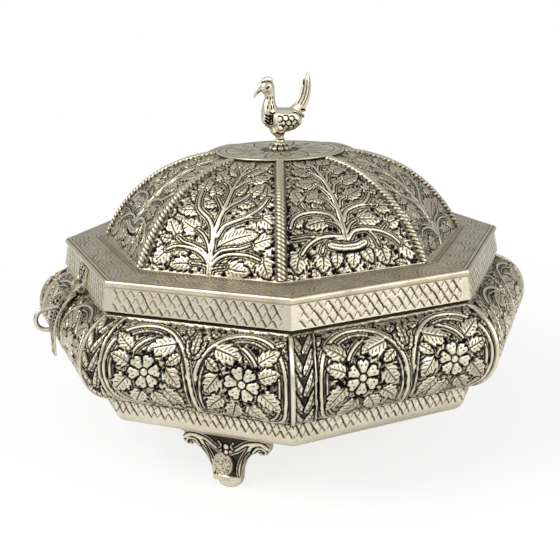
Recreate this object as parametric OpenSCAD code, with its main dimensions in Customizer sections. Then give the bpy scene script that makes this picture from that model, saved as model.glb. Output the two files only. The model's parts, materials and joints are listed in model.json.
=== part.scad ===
// Eight-sided footed box for betel leaf and its condiments, in chased silver sheet.
// The z axis is the axis of the octagon, z = 0 is the table and the hasp faces -Y.
// A profile is a list of [distance from the axis to a flat side, height] points, from the bottom up.

/* [Body] */
// Distance across the flats at the fullest part of the bulge
bulge_flats = 223.6; // [205:1:240]
// Radius of the bulge, seen from the side
bulge_arc_r = 19.5; // [17:0.5:24]
// Distance across the flats at the waist, where the bulge meets the base band
waist_flats = 194; // [180:1:204]
// Distance across the flats of the mouth, outside the upright collar
mouth_flats = 189; // [180:1:196]
// Thickness of the body and lid sheet
sheet = 1.3; // [0.8:0.1:2]
// Height of the collar above the shoulder of the body
collar_h = 12.3; // [8:0.1:16]
// Depth of the tray ledge below the shoulder of the body
ledge_drop = 5.2; // [3:0.1:10]
// Width of the ledge that the tray hangs on, beyond the sheet of the collar
ledge_w = 5.2; // [3:0.1:8]
// Thickness of the floor plate
floor_t = 1.5; // [1:0.1:3]

/* [Base and feet] */
// Height of the base band
band_h = 12.7; // [9:0.1:18]
// Distance across the flats at the bottom edge of the base band
base_flats = 177.4; // [165:0.2:186]
// Width of the turned-in rim under the base band
base_rim_w = 8.7; // [6:0.1:14]
// Height of a foot
foot_h = 25.4; // [18:0.1:34]
// Width of the top plate of a foot
foot_w = 43; // [34:0.5:54]
// Depth of the top plate of a foot, from front to back
foot_depth = 8; // [6:0.1:10]
// Thickness of the top plate of a foot
foot_plate_t = 2.2; // [1.5:0.1:3.5]
// How far a front foot stands behind the middle of its side
foot_shift = 6.3; // [0:0.1:10]
// Thickness of the cast leg of a foot
leg_t = 5; // [3.5:0.1:6.5]
// Radius of the toe of a foot
toe_r = 5.6; // [4.5:0.1:6.5]

/* [Lid] */
// Thickness of the flat flange round the dome
flange_t = 1.2; // [0.8:0.1:2]
// Height of the lid's side, from the top of the flange to the lower edge of the skirt
skirt_h = 12.6; // [9:0.1:13.4]
// Gap between the collar and the inside of the skirt at its top
skirt_gap = 0.5; // [0.3:0.1:1.5]
// Outward slope of the skirt from its top to its lower edge
skirt_flare = 2.3; // [1:0.1:4]
// Height of the half-round moulding along the top edge
bead_h = 3.2; // [2:0.1:4.5]
// Stand-out of the half-round moulding
bead_out = 1.1; // [0.6:0.1:1.6]
// Distance across the flats at the foot of the dome
dome_flats = 159.3; // [140:0.1:170]
// Height of the dome above the flange
dome_h = 40; // [32:0.5:52]
// Radius of the dome's curve along its corners
dome_arc_r = 65.7; // [58:0.1:80]
// Diameter of the round crown plate
crown_d = 61.4; // [50:0.2:70]
// Thickness of the crown plate
crown_t = 1; // [0.8:0.1:2]
// Turn of the dome on its flange, clockwise from above, in degrees
dome_turn = 1.9; // [0:0.1:3]
// Half the width of the half-round ropes on the dome's corners
rope_r = 2; // [1.4:0.1:2.4]
// Height of a rope above its corner
rope_rise = 1; // [0.6:0.1:1.4]

/* [Finial] */
// Diameter of the petal rosette under the bird
rosette_d = 10.6; // [9:0.1:14]
// Height of the petal rosette
rosette_h = 3.2; // [2:0.1:5]
// Height of the bird with its post
bird_h = 32.4; // [28:0.1:38]
// Thickness of the bird's body
bird_t = 9; // [7:0.1:12]
// Radius of the threaded stud that holds the bird
stud_r = 1.5; // [1.2:0.05:1.8]
// Depth of the stud in the bird's post
stud_grip = 4.5; // [3:0.1:6]
// Radius of the washer inside the dome
washer_r = 5; // [4:0.1:8]
// Thickness of the washer inside the dome
washer_t = 0.8; // [0.5:0.1:1.5]
// Height of the nut inside the dome
nut_h = 2.4; // [1.8:0.1:4]
// Radius of the nut over its corners
nut_r = 3.2; // [2.8:0.1:4]

/* [Back hinge] */
// Length of the back hinge
hinge_w = 36; // [28:0.5:48]
// Outer radius of a knuckle of the back hinge
hinge_r = 2.2; // [1.8:0.05:2.6]
// Radius of the pin of the back hinge
hinge_pin_r = 1.1; // [0.8:0.05:1.4]
// Height of the hinge pin above the lower edge of the skirt
hinge_up = 1.2; // [0.8:0.1:2.2]
// Thickness of a hinge leaf
leaf_t = 1.2; // [0.8:0.1:1.8]
// Radius of a rivet's shank
rivet_r = 0.9; // [0.7:0.05:1.2]
// Radius of a rivet's domed head
rivet_head_r = 1.9; // [1.6:0.05:2.2]

/* [Hasp and staple] */
// Width of the hasp at its hinge
hasp_w = 13; // [11:0.5:16]
// Width of the hasp's tail
tail_w = 6.4; // [5:0.1:8]
// Thickness of the hasp
hasp_t = 1.4; // [1:0.1:1.8]
// Gap between the hasp and the bulge
hasp_gap = 1.5; // [1.1:0.1:2]
// Length of the plain tail below the slot
tail_l = 6.5; // [4:0.5:12]
// Outer radius of the hasp's knuckle
hasp_r = 1.8; // [1.5:0.05:2]
// Radius of the hasp's pin
hasp_pin_r = 0.8; // [0.6:0.05:1]
// Radius of the staple's wire
wire_r = 1.1; // [0.9:0.05:1.3]
// Radius of the staple's loop along the middle of the wire
loop_r = 4.9; // [4.4:0.1:5.5]
// Height of the staple's middle above the fullest part of the bulge
staple_up = 7; // [5.5:0.1:8]
// Reach of the staple beyond the bulge
staple_reach = 10; // [9.6:0.1:12]

/* [Tray and cups] */
// Thickness of the tray's sheet
tray_t = 1; // [0.8:0.1:1.5]
// Depth of the tray below its rim
tray_depth = 15.2; // [12:0.1:18]
// Radius of a tray handle along the middle of its wire
handle_r = 9; // [7.5:0.1:11]
// Radius of a tray handle's wire
handle_wire_r = 1.2; // [1:0.05:1.5]
// Distance between the middles of two neighbouring cups
cup_pitch = 57; // [54:0.5:58]
// Radius of a cup over its rim
cup_r = 26; // [22:0.1:26.5]
// Height of a cup
cup_h = 18; // [14:0.1:19]
// Wall of a cup
cup_t = 1; // [0.8:0.1:1.5]
// Height of the dome of a cup's cover
cover_rise = 3.2; // [2:0.1:4.5]
// Radius of the knob on a cover
knob_r = 2.8; // [2:0.1:4]
// Depth of the lip that a cover has inside its cup
lip_h = 3; // [2:0.1:4.5]

/* [Hidden] */

silver = "gainsboro";
plain_silver = "silver";
dark_silver = "darkgray";

// Round surfaces and the steps of an arc in a profile
$fn = 48;
arc_steps = 20;
// Half the angle between two sides of the octagon
half_turn = 22.5;
// Running clearance of a pin or a stud in its bore, on the radius
pin_fit = 0.05;
// Clearance of a seat that lifts off, and side clearance of what drops in
seat_gap = 0.3;
drop_gap = 0.6;
// Clearance of two pieces that lie on each other along a curve
skin_gap = 0.05;
// Overlap of cutting shapes past the face that they cut
cut = 1;

// Body heights and half widths
waist_p = waist_flats / 2;
mouth_p = mouth_flats / 2;
base_p = base_flats / 2;
bulge_p = bulge_flats / 2;
bulge_mid_p = bulge_p - bulge_arc_r;
waist_z = foot_h + band_h;
low_angle = -acos((waist_p - bulge_mid_p) / bulge_arc_r);
high_angle = acos((mouth_p + sheet - bulge_mid_p) / bulge_arc_r);
bulge_z = waist_z - bulge_arc_r * sin(low_angle);
shoulder_z = bulge_z + bulge_arc_r * sin(high_angle);
shoulder_top = bulge_z + bulge_arc_r * (high_angle > 90 ? 1 : sin(high_angle));
band_straight = floor_t + 2 * sheet;
floor_z = waist_z - sheet - floor_t;
ledge_z = shoulder_z - ledge_drop;
collar_top = shoulder_top + collar_h;

// Lid heights and half widths
flange_z = collar_top + seat_gap;
lid_z = flange_z + flange_t;
skirt_z = lid_z - skirt_h;
skirt_top_p = mouth_p + skirt_gap + sheet;
skirt_low_p = skirt_top_p + skirt_flare;
skirt_slope = atan(skirt_flare / skirt_h);
dome_p = dome_flats / 2;
crown_r = crown_d / 2;
crown_z = lid_z + dome_h;
rosette_z = crown_z + crown_t;
bird_z = rosette_z + rosette_h;

// The dome's corner arc, from its foot to the flat under the crown plate
dome_foot_r = dome_p / cos(half_turn);
dome_top_r = crown_r - sheet / 2;
chord = [dome_foot_r - dome_top_r, dome_h];
chord_l = norm(chord);
chord_drop = sqrt(dome_arc_r * dome_arc_r - chord_l * chord_l / 4);
dome_mid_r = (dome_foot_r + dome_top_r) / 2 - chord_drop * dome_h / chord_l;
dome_mid_z = dome_h / 2 - chord_drop * chord[0] / chord_l;
dome_low_angle = asin(-dome_mid_z / dome_arc_r);
// How far the turned dome's foot reaches inside the line of an unturned one
dome_swing = dome_p * tan(half_turn) * sin(dome_turn);

// Set-back of a foot's leg from the band's edge, by which its toe stands out
foot_set_back = 0.4;

// Back hinge
hinge_y = skirt_low_p + hinge_r + seat_gap;
hinge_z = skirt_z + hinge_up;
knuckles = 5;
knuckle_gap = 0.2;
knuckle_pitch = hinge_w / knuckles;
leaf_low_z = hinge_z + hinge_r + 2 * seat_gap;
leaf_high_z = lid_z - bead_h - seat_gap;
leaf_top_angle = acos((hinge_y - hinge_r + seat_gap - bulge_mid_p) / bulge_arc_r);
leaf_low_angle = leaf_top_angle - 30;
rivet_angle = leaf_low_angle + 10;
rivet_x = hinge_w / 3;

// Hasp and staple
hasp_y = skirt_low_p + hasp_r + seat_gap;
hasp_z = skirt_z;
hasp_knuckle_w = hasp_w * 0.46;
strap_low_r = bulge_arc_r + hasp_gap;
strap_high_r = strap_low_r + hasp_t;
pin_angle = atan2(hasp_z - bulge_z, hasp_y - bulge_mid_p);
strap_top_z = hasp_z - hasp_r - seat_gap;
tail_angle = 8;
staple_z = bulge_z + staple_up;
loop_y = bulge_p + staple_reach - loop_r - wire_r;
staple_in_p = bulge_mid_p - drop_gap
    + sqrt(pow(bulge_arc_r - sheet, 2) - pow(staple_up + loop_r + wire_r, 2));
slot_w = 2 * wire_r + 2 * drop_gap;
slot_low_z = staple_z - loop_r - wire_r - 4 * wire_r;
slot_high_z = staple_z + loop_r + 2 * wire_r;
tail_z = slot_low_z - tail_l;

// Tray, cups and covers
tray_seat = 0.1;
tray_wall_p = mouth_p - sheet - ledge_w - drop_gap;
tray_rim_p = mouth_p - sheet - drop_gap;
tray_rim_z = ledge_z + tray_seat;
tray_floor_z = tray_rim_z + tray_t - tray_depth;
cup_z = tray_floor_z + tray_t;
cup_base_r = cup_r - 3.5;
cover_z = cup_z + cup_h + tray_seat;
cover_dome_z = cover_z + cup_t + cover_rise;

function bulge_point(angle, off = 0) = [
    bulge_mid_p + (bulge_arc_r + off) * cos(angle),
    bulge_z + (bulge_arc_r + off) * sin(angle)
];

function bulge_arc(from, to, off = 0) = [
    for (i = [0 : arc_steps]) bulge_point(from + (to - from) * i / arc_steps, off)
];

function dome_point(angle, off = 0) = [
    (dome_mid_r + (dome_arc_r + off) * cos(angle)) * cos(half_turn),
    lid_z + dome_mid_z + (dome_arc_r + off) * sin(angle)
];

// The outside of the skirt at a height, as half a width
function skirt_p(z) = skirt_top_p + skirt_flare * (lid_z - z) / skirt_h;

// Place of a knuckle along the back hinge, from the hinge's middle
function knuckle_along(i) = (i - (knuckles - 1) / 2) * knuckle_pitch;

// Solid of eight equal sides whose half width follows a profile
module octagon_solid(profile) {
    far = [for (i = [len(profile) - 1 : -1 : 0]) [-profile[i][0], profile[i][1]]];
    outline = concat(profile, far);
    reach = 3 * max([for (point = profile) point[0]]);
    intersection_for (turn = [0, 45, 90, 135])
        rotate([90, 0, turn])
            linear_extrude(reach, center = true)
                polygon(outline);
}

// Ring of eight flat sides between two half widths
module octagon_ring(outer_p, inner_p, low_z, high_z) {
    difference() {
        octagon_solid([[outer_p, low_z], [outer_p, high_z]]);
        octagon_solid([[inner_p, low_z - cut], [inner_p, high_z + cut]]);
    }
}

// Profile piece of some width on one side: azimuth 0 is the front, 90 is +X
module on_side(azimuth, width, along = 0) {
    rotate([0, 0, azimuth - 90])
        translate([0, along, 0])
            rotate([90, 0, 0])
                linear_extrude(width, center = true)
                    children();
}

// Rod along the side's own width, at a distance from the axis and a height
module cross_rod(azimuth, radius, width, distance, height, along = 0) {
    rotate([0, 0, azimuth - 90])
        translate([distance, along, height])
            rotate([90, 0, 0])
                cylinder(h = width, r = radius, center = true);
}

// Upright shape at the foot of one side, with +X away from the axis
module at_side(azimuth, distance, height) {
    rotate([0, 0, azimuth - 90])
        translate([distance, 0, height])
            children();
}

// Legs of the staple, through the sheet of the bulge
module staple_legs(radius) {
    for (side = [-1, 1])
        at_side(0, loop_y, staple_z + side * loop_r)
            rotate([0, -90, 0])
                cylinder(h = loop_y - staple_in_p, r = radius);
}

// Shapes on the shell's back that point straight out of the bulge
module bulge_normal(off) {
    point = bulge_point(rivet_angle, off);
    for (side = [-1, 1])
        rotate([0, 0, 90])
            translate([point[0], side * rivet_x, point[1]])
                rotate([0, 90 - rivet_angle, 0])
                    children();
}

// Shapes on the lid's back that point straight out of the skirt
module skirt_normal(off) {
    rivet_z = (leaf_low_z + leaf_high_z) / 2;
    for (side = [-1, 1])
        rotate([0, 0, 90])
            translate([skirt_p(rivet_z), side * rivet_x, rivet_z])
                rotate([0, 90 - skirt_slope, 0])
                    translate([0, 0, off])
                        children();
}

module rivet(through) {
    cap_z = skin_gap;
    translate([0, 0, -through - leaf_t])
        cylinder(h = through + leaf_t + cap_z, r = rivet_r);
    translate([0, 0, cap_z])
        rotate_extrude()
            intersection() {
                translate([0, -rivet_head_r / 3])
                    circle(r = rivet_head_r);
                square([rivet_head_r, rivet_head_r]);
            }
}

module body_shell() {
    opening_low = acos((waist_p - sheet - bulge_mid_p) / (bulge_arc_r - sheet));
    opening_high = acos((mouth_p - bulge_mid_p) / (bulge_arc_r - sheet));
    inside = concat(
        [[waist_p - sheet, waist_z - cut]],
        bulge_arc(-opening_low, opening_high, -sheet),
        [[mouth_p, shoulder_top + cut]]
    );
    color(silver)
        difference() {
            octagon_solid(bulge_arc(low_angle, high_angle));
            octagon_solid(inside);
            staple_legs(wire_r + pin_fit);
            bulge_normal(-2 * sheet)
                cylinder(h = 4 * sheet, r = rivet_r + pin_fit);
        }
}

module rim_collar() {
    color(plain_silver)
        octagon_ring(mouth_p, mouth_p - sheet, ledge_z, collar_top);
}

module tray_ledge() {
    color(plain_silver)
        octagon_ring(mouth_p, mouth_p - sheet - ledge_w, ledge_z - sheet, ledge_z);
}

module floor_plate() {
    half = waist_p - sheet;
    color(plain_silver)
        octagon_solid([[half, floor_z], [half, floor_z + floor_t]]);
}

// The band goes straight down, then turns under in a quarter of an ellipse
module base_band() {
    turn_z = waist_z - band_straight;
    turn_h = band_h - band_straight;
    turn_w = waist_p - base_p;
    outside = concat(
        [for (i = [0 : arc_steps / 2]) [
            base_p + turn_w * sin(180 * i / arc_steps),
            turn_z - turn_h * cos(180 * i / arc_steps)
        ]],
        [[waist_p, waist_z]]
    );
    inside = concat(
        [[base_p - base_rim_w, foot_h - cut], [base_p - base_rim_w, foot_h + sheet]],
        [for (i = [0 : arc_steps / 2]) [
            base_p + (turn_w - sheet) * sin(180 * i / arc_steps),
            turn_z - (turn_h - sheet) * cos(180 * i / arc_steps)
        ]],
        [[waist_p - sheet, waist_z + cut]]
    );
    color(silver)
        difference() {
            octagon_solid(outside);
            octagon_solid(inside);
        }
}

// Cast foot: a top plate under the band's rim, a scrolled leg and a round toe
module foot(azimuth, shift = 0) {
    plate_z = foot_h - foot_plate_t;
    scroll_r = foot_w * 0.075;
    scroll_x = foot_w * 0.39;
    scroll_z = plate_z - scroll_r * 0.8;
    leg_top_z = plate_z + foot_plate_t / 2;
    corner_z = plate_z - scroll_r / 2;
    knee_w = foot_w * 0.22;
    knee_z = plate_z * 0.66;
    ankle_w = toe_r * 1.1;
    ankle_z = plate_z * 0.38;
    toe_h = toe_r * 1.1;
    leg_p = base_p - leg_t - foot_set_back;
    color(silver)
        rotate([0, 0, azimuth - 90]) {
            translate([base_p - foot_depth, shift - foot_w / 2, plate_z])
                cube([foot_depth, foot_w, foot_plate_t]);
            translate([leg_p, shift, 0])
                rotate([90, 0, 90])
                    linear_extrude(leg_t) {
                        polygon([
                            [-ankle_w, toe_h / 2], [ankle_w, toe_h / 2],
                            [ankle_w * 1.1, ankle_z], [knee_w, knee_z],
                            [scroll_x, corner_z], [scroll_x, leg_top_z],
                            [-scroll_x, leg_top_z], [-scroll_x, corner_z],
                            [-knee_w, knee_z], [-ankle_w * 1.1, ankle_z]
                        ]);
                        for (side = [-1, 1])
                            translate([side * scroll_x, scroll_z])
                                circle(r = scroll_r);
                    }
            translate([base_p - toe_r + foot_set_back, shift, 0])
                rotate_extrude()
                    polygon([
                        [0, 0], [toe_r * 0.7, 0], [toe_r * 0.93, toe_h * 0.2], [toe_r, toe_h * 0.5],
                        [toe_r * 0.86, toe_h * 0.85], [toe_r * 0.6, toe_h], [0, toe_h]
                    ]);
        }
}

// Knuckles of the back hinge: the body has the even ones, the lid the odd ones
module hinge_knuckles(first) {
    for (i = [first : 2 : knuckles - 1])
        cross_rod(180, hinge_r, knuckle_pitch - knuckle_gap, hinge_y, hinge_z, knuckle_along(i));
}

module hinge_bore() {
    cross_rod(180, hinge_pin_r + pin_fit, hinge_w + 2 * cut, hinge_y, hinge_z);
}

// The leaf on the body lies on the bulge and has a notch for each of the lid's knuckles
module hinge_leaf_body() {
    low = skin_gap;
    web_low = bulge_z + sqrt(pow(bulge_arc_r + leaf_t / 2, 2) - pow(hinge_y - bulge_mid_p, 2));
    color(plain_silver)
        difference() {
            union() {
                on_side(180, hinge_w)
                    polygon(concat(
                        bulge_arc(leaf_low_angle, leaf_top_angle, low),
                        [for (i = [arc_steps : -1 : 0]) bulge_point(
                            leaf_low_angle + (leaf_top_angle - leaf_low_angle) * i / arc_steps,
                            low + leaf_t)]
                    ));
                hinge_knuckles(0);
                for (i = [0 : 2 : knuckles - 1])
                    on_side(180, knuckle_pitch - knuckle_gap, knuckle_along(i))
                        translate([hinge_y - leaf_t / 2, web_low])
                            square([leaf_t, hinge_z - web_low]);
            }
            hinge_bore();
            for (i = [1 : 2 : knuckles - 1])
                cross_rod(180, hinge_r + seat_gap, knuckle_pitch, hinge_y, hinge_z, knuckle_along(i));
            bulge_normal(-cut)
                cylinder(h = 2 * cut + 2 * leaf_t, r = rivet_r + pin_fit);
        }
}

module hinge_rivets_body() {
    color(plain_silver)
        bulge_normal(skin_gap + leaf_t)
            rivet(sheet);
}

module hinge_pin() {
    color(dark_silver)
        cross_rod(180, hinge_pin_r, hinge_w + 2 * knuckle_gap, hinge_y, hinge_z);
}

module hinge_leaf_lid() {
    color(plain_silver)
        difference() {
            union() {
                on_side(180, hinge_w)
                    polygon([
                        [skirt_p(leaf_low_z), leaf_low_z], [skirt_p(leaf_low_z) + leaf_t, leaf_low_z],
                        [skirt_p(leaf_high_z) + leaf_t, leaf_high_z], [skirt_p(leaf_high_z), leaf_high_z]
                    ]);
                for (i = [1 : 2 : knuckles - 1])
                    on_side(180, knuckle_pitch - knuckle_gap, knuckle_along(i))
                        polygon([
                            [skirt_p(hinge_z), hinge_z], [hinge_y, hinge_z],
                            [skirt_p(leaf_low_z) + leaf_t, leaf_low_z + leaf_t],
                            [skirt_p(leaf_low_z + leaf_t), leaf_low_z + leaf_t]
                        ]);
                hinge_knuckles(1);
            }
            hinge_bore();
            skirt_normal(-cut)
                cylinder(h = 2 * cut + 2 * leaf_t, r = rivet_r + pin_fit);
        }
}

module hinge_rivets_lid() {
    color(plain_silver)
        skirt_normal(leaf_t + skin_gap)
            rivet(sheet + 2 * skin_gap);
}

module staple() {
    color(plain_silver) {
        staple_legs(wire_r);
        at_side(0, loop_y, staple_z)
            rotate([90, 0, 0])
                rotate([0, 0, -90])
                    rotate_extrude(angle = 180)
                        translate([loop_r, 0])
                            circle(r = wire_r);
    }
}

module lid_flange() {
    color(silver)
        octagon_ring(skirt_top_p, dome_p - sheet - dome_swing, flange_z, lid_z);
}

module lid_skirt() {
    color(silver)
        difference() {
            octagon_solid([[skirt_low_p, skirt_z], [skirt_p(flange_z), flange_z]]);
            octagon_solid([
                [skirt_low_p + skirt_flare * cut / skirt_h - sheet, skirt_z - cut],
                [skirt_p(flange_z + cut) - sheet, flange_z + cut]
            ]);
            skirt_normal(-2 * sheet)
                cylinder(h = 4 * sheet, r = rivet_r + pin_fit);
        }
}

module edge_moulding() {
    middle_z = lid_z - bead_h / 2;
    low_z = lid_z - bead_h;
    color(silver)
        difference() {
            octagon_solid([for (i = [0 : arc_steps]) [
                skirt_p(middle_z) + bead_out * sin(180 * i / arc_steps),
                middle_z - bead_h / 2 * cos(180 * i / arc_steps)
            ]]);
            octagon_solid([
                [skirt_p(low_z - cut), low_z - cut], [skirt_p(flange_z), flange_z],
                [skirt_top_p, flange_z], [skirt_top_p, lid_z + cut]
            ]);
        }
}

module lid_dome() {
    top_angle = asin((dome_h - dome_mid_z) / dome_arc_r);
    inside_r = dome_arc_r - sheet;
    inside_low = asin(-dome_mid_z / inside_r);
    inside_top = asin((dome_h - sheet - dome_mid_z) / inside_r);
    outside = [for (i = [0 : arc_steps])
        dome_point(dome_low_angle + (top_angle - dome_low_angle) * i / arc_steps)];
    inside = [for (i = [0 : arc_steps])
        dome_point(inside_low + (inside_top - inside_low) * i / arc_steps, -sheet)];
    color(silver)
        rotate([0, 0, -dome_turn])
            difference() {
                octagon_solid(outside);
                octagon_solid(concat([[inside[0][0], lid_z - cut]], inside));
                translate([0, 0, crown_z - 2 * sheet])
                    cylinder(h = 4 * sheet, r = stud_r + pin_fit);
            }
}

// A half-round rope lies on each corner of the dome, from the flange to the crown plate
module dome_ropes() {
    start = dome_low_angle + 0.5;
    end = acos((crown_r + seat_gap - dome_mid_r) / (dome_arc_r + rope_rise));
    skin = [for (i = [0 : arc_steps])
        dome_point(start - 2 + (end - start + 4) * i / arc_steps, skin_gap)];
    color(silver)
        rotate([0, 0, -dome_turn])
            difference() {
                for (corner = [0 : 7])
                    rotate([0, 0, half_turn + 45 * corner])
                        translate([dome_mid_r, 0, lid_z + dome_mid_z])
                            rotate([90, 0, 0])
                                rotate([0, 0, start])
                                    rotate_extrude(angle = end - start)
                                        translate([dome_arc_r + rope_rise - rope_r, 0])
                                            circle(r = rope_r);
                octagon_solid(skin);
            }
}

module crown_plate() {
    color(silver)
        translate([0, 0, crown_z])
            difference() {
                cylinder(h = crown_t, r = crown_r, $fn = 96);
                translate([0, 0, -cut])
                    cylinder(h = crown_t + 2 * cut, r = stud_r + pin_fit);
            }
}

module finial_rosette() {
    radius = rosette_d / 2;
    color(silver)
        translate([0, 0, rosette_z])
            difference() {
                rotate_extrude()
                    polygon([
                        [0, 0], [radius * 0.94, 0], [radius, rosette_h * 0.2],
                        [radius * 0.9, rosette_h * 0.55], [radius * 0.64, rosette_h * 0.85],
                        [radius * 0.44, rosette_h], [0, rosette_h]
                    ]);
                translate([0, 0, -cut])
                    cylinder(h = rosette_h + 2 * cut, r = stud_r + pin_fit);
            }
}

// Ball of the bird's outline, in shares of its height: forward, up, radius
module bird_ball(forward, up, radius) {
    translate([0, -forward * bird_h, bird_z + up * bird_h])
        scale([min(1, bird_t / (2 * radius * bird_h)), 1, 1])
            sphere(r = radius * bird_h, $fn = 24);
}

// Bird that faces the hasp, on a turned post: breast, back, neck, head, beak and a raised tail
module finial_bird() {
    post_r = 0.07 * bird_h;
    post_h = 0.27 * bird_h;
    color(silver) {
        difference() {
            translate([0, 0, bird_z])
                rotate_extrude()
                    polygon([
                        [0, 0], [post_r * 1.2, 0], [post_r * 1.2, post_h * 0.3], [post_r, post_h * 0.36],
                        [post_r, post_h * 0.7], [post_r * 1.6, post_h * 1.3], [0, post_h * 1.3]
                    ]);
            translate([0, 0, bird_z - cut])
                cylinder(h = stud_grip + pin_fit + cut, r = stud_r + pin_fit);
        }
        hull() {
            bird_ball(0.135, 0.38, 0.155);
            bird_ball(-0.05, 0.33, 0.18);
            bird_ball(-0.2, 0.335, 0.15);
        }
        hull() {
            bird_ball(0.15, 0.45, 0.125);
            bird_ball(0.145, 0.69, 0.08);
        }
        bird_ball(0.185, 0.815, 0.115);
        hull() {
            bird_ball(0.26, 0.82, 0.065);
            bird_ball(0.39, 0.68, 0.012);
        }
        hull() {
            bird_ball(-0.24, 0.42, 0.09);
            bird_ball(-0.36, 0.54, 0.09);
        }
        hull() {
            bird_ball(-0.36, 0.54, 0.09);
            bird_ball(-0.44, 0.76, 0.085);
        }
        hull() {
            bird_ball(-0.44, 0.76, 0.085);
            bird_ball(-0.47, 0.97, 0.03);
        }
        hull() {
            bird_ball(0.22, 0.92, 0.035);
            bird_ball(0.12, 0.91, 0.035);
        }
    }
}

module finial_stud() {
    low_z = crown_z - sheet - washer_t - nut_h - cut;
    color(dark_silver)
        translate([0, 0, low_z])
            cylinder(h = bird_z + stud_grip - low_z, r = stud_r);
}

module finial_washer() {
    color(dark_silver)
        translate([0, 0, crown_z - sheet - washer_t])
            difference() {
                cylinder(h = washer_t, r = washer_r);
                translate([0, 0, -cut])
                    cylinder(h = washer_t + 2 * cut, r = stud_r + pin_fit);
            }
}

module finial_nut() {
    color(dark_silver)
        translate([0, 0, crown_z - sheet - washer_t - nut_h])
            difference() {
                cylinder(h = nut_h, r = nut_r, $fn = 6);
                translate([0, 0, -cut])
                    cylinder(h = nut_h + 2 * cut, r = stud_r + pin_fit);
            }
}

// Plate on the front of the skirt, with an ear on each side of the hasp's knuckle
module hasp_bracket() {
    plate_low = hasp_z + hasp_r + 2 * seat_gap;
    ear_w = (hasp_w - hasp_knuckle_w) / 2 - knuckle_gap;
    ear_y = (hasp_w - ear_w) / 2;
    color(plain_silver)
        difference() {
            union() {
                on_side(0, hasp_w)
                    polygon([
                        [skirt_p(plate_low), plate_low], [skirt_p(plate_low) + leaf_t, plate_low],
                        [skirt_p(leaf_high_z) + leaf_t, leaf_high_z], [skirt_p(leaf_high_z), leaf_high_z]
                    ]);
                for (side = [-1, 1]) {
                    on_side(0, ear_w, side * ear_y)
                        polygon([
                            [skirt_p(hasp_z), hasp_z], [hasp_y, hasp_z],
                            [skirt_p(plate_low) + leaf_t, plate_low + leaf_t],
                            [skirt_p(plate_low + leaf_t), plate_low + leaf_t]
                        ]);
                    cross_rod(0, hasp_r, ear_w, hasp_y, hasp_z, side * ear_y);
                }
            }
            cross_rod(0, hasp_pin_r + pin_fit, hasp_w + 2 * cut, hasp_y, hasp_z);
        }
}

module hasp_pin() {
    color(dark_silver)
        cross_rod(0, hasp_pin_r, hasp_w + 2 * knuckle_gap, hasp_y, hasp_z);
}

// Strap that follows the bulge, then hangs straight to its tail
module hasp() {
    low_end = bulge_point(tail_angle, strap_low_r - bulge_arc_r);
    high_end = bulge_point(tail_angle, strap_high_r - bulge_arc_r);
    strap = concat(
        [[low_end[0], tail_z], [high_end[0], tail_z]],
        bulge_arc(tail_angle, pin_angle, strap_high_r - bulge_arc_r),
        [for (i = [arc_steps : -1 : 0]) bulge_point(
            tail_angle + (pin_angle - tail_angle) * i / arc_steps, strap_low_r - bulge_arc_r)]
    );
    flank_w = hasp_w * 0.84;
    // Front view of the strap: a tail, two rails beside the slot and the tongue to the knuckle
    face = [
        [-tail_w / 2, tail_z], [tail_w / 2, tail_z], [tail_w / 2, slot_low_z - wire_r],
        [flank_w / 2, staple_z - loop_r], [hasp_w / 2, staple_z + loop_r], [hasp_w / 2, strap_top_z],
        [hasp_knuckle_w / 2, strap_top_z], [hasp_knuckle_w / 2, hasp_z + hasp_r],
        [-hasp_knuckle_w / 2, hasp_z + hasp_r], [-hasp_knuckle_w / 2, strap_top_z],
        [-hasp_w / 2, strap_top_z], [-hasp_w / 2, staple_z + loop_r],
        [-flank_w / 2, staple_z - loop_r], [-tail_w / 2, slot_low_z - wire_r]
    ];
    color(silver)
        difference() {
            union() {
                intersection() {
                    on_side(0, 2 * hasp_w)
                        polygon(strap);
                    rotate([90, 0, 0])
                        linear_extrude(2 * bulge_p)
                            polygon(face);
                }
                cross_rod(0, hasp_r, hasp_knuckle_w, hasp_y, hasp_z);
            }
            cross_rod(0, hasp_pin_r + pin_fit, hasp_w + 2 * cut, hasp_y, hasp_z);
            translate([-slot_w / 2, -2 * bulge_p, slot_low_z])
                cube([slot_w, 2 * bulge_p, slot_high_z - slot_low_z]);
        }
}

module tray() {
    color(plain_silver)
        difference() {
            octagon_solid([
                [tray_wall_p, tray_floor_z], [tray_wall_p, tray_rim_z],
                [tray_rim_p, tray_rim_z], [tray_rim_p, tray_rim_z + tray_t]
            ]);
            octagon_solid([
                [tray_wall_p - tray_t, cup_z], [tray_wall_p - tray_t, tray_rim_z + tray_t + cut]
            ]);
        }
}

module tray_handles() {
    distance = (tray_wall_p + tray_rim_p) / 2;
    color(plain_silver)
        for (azimuth = [90, 270])
            at_side(azimuth, distance, tray_rim_z + tray_t)
                rotate([90, 0, 90])
                    rotate_extrude(angle = 180)
                        translate([handle_r, 0])
                            circle(r = handle_wire_r);
}

// Position of a cup: number 0 is in the middle, 1 is at the front, and the rest go round
module at_cup(number) {
    angle = 60 * (number - 1) - 90;
    distance = number == 0 ? 0 : cup_pitch;
    translate([distance * cos(angle), distance * sin(angle), 0])
        children();
}

module cup(number) {
    wall_r = cup_r - 1.5;
    color(plain_silver)
        at_cup(number)
            translate([0, 0, cup_z])
                rotate_extrude($fn = 64)
                    polygon([
                        [0, 0], [cup_base_r - 1.5, 0], [cup_base_r, 1.5], [wall_r, cup_h - 2],
                        [cup_r, cup_h - 1.4], [cup_r, cup_h], [wall_r - cup_t, cup_h],
                        [wall_r - cup_t, cup_h - 2], [cup_base_r - cup_t, 1.5 + cup_t],
                        [cup_base_r - cup_t - 1, cup_t], [0, cup_t]
                    ]);
}

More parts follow.
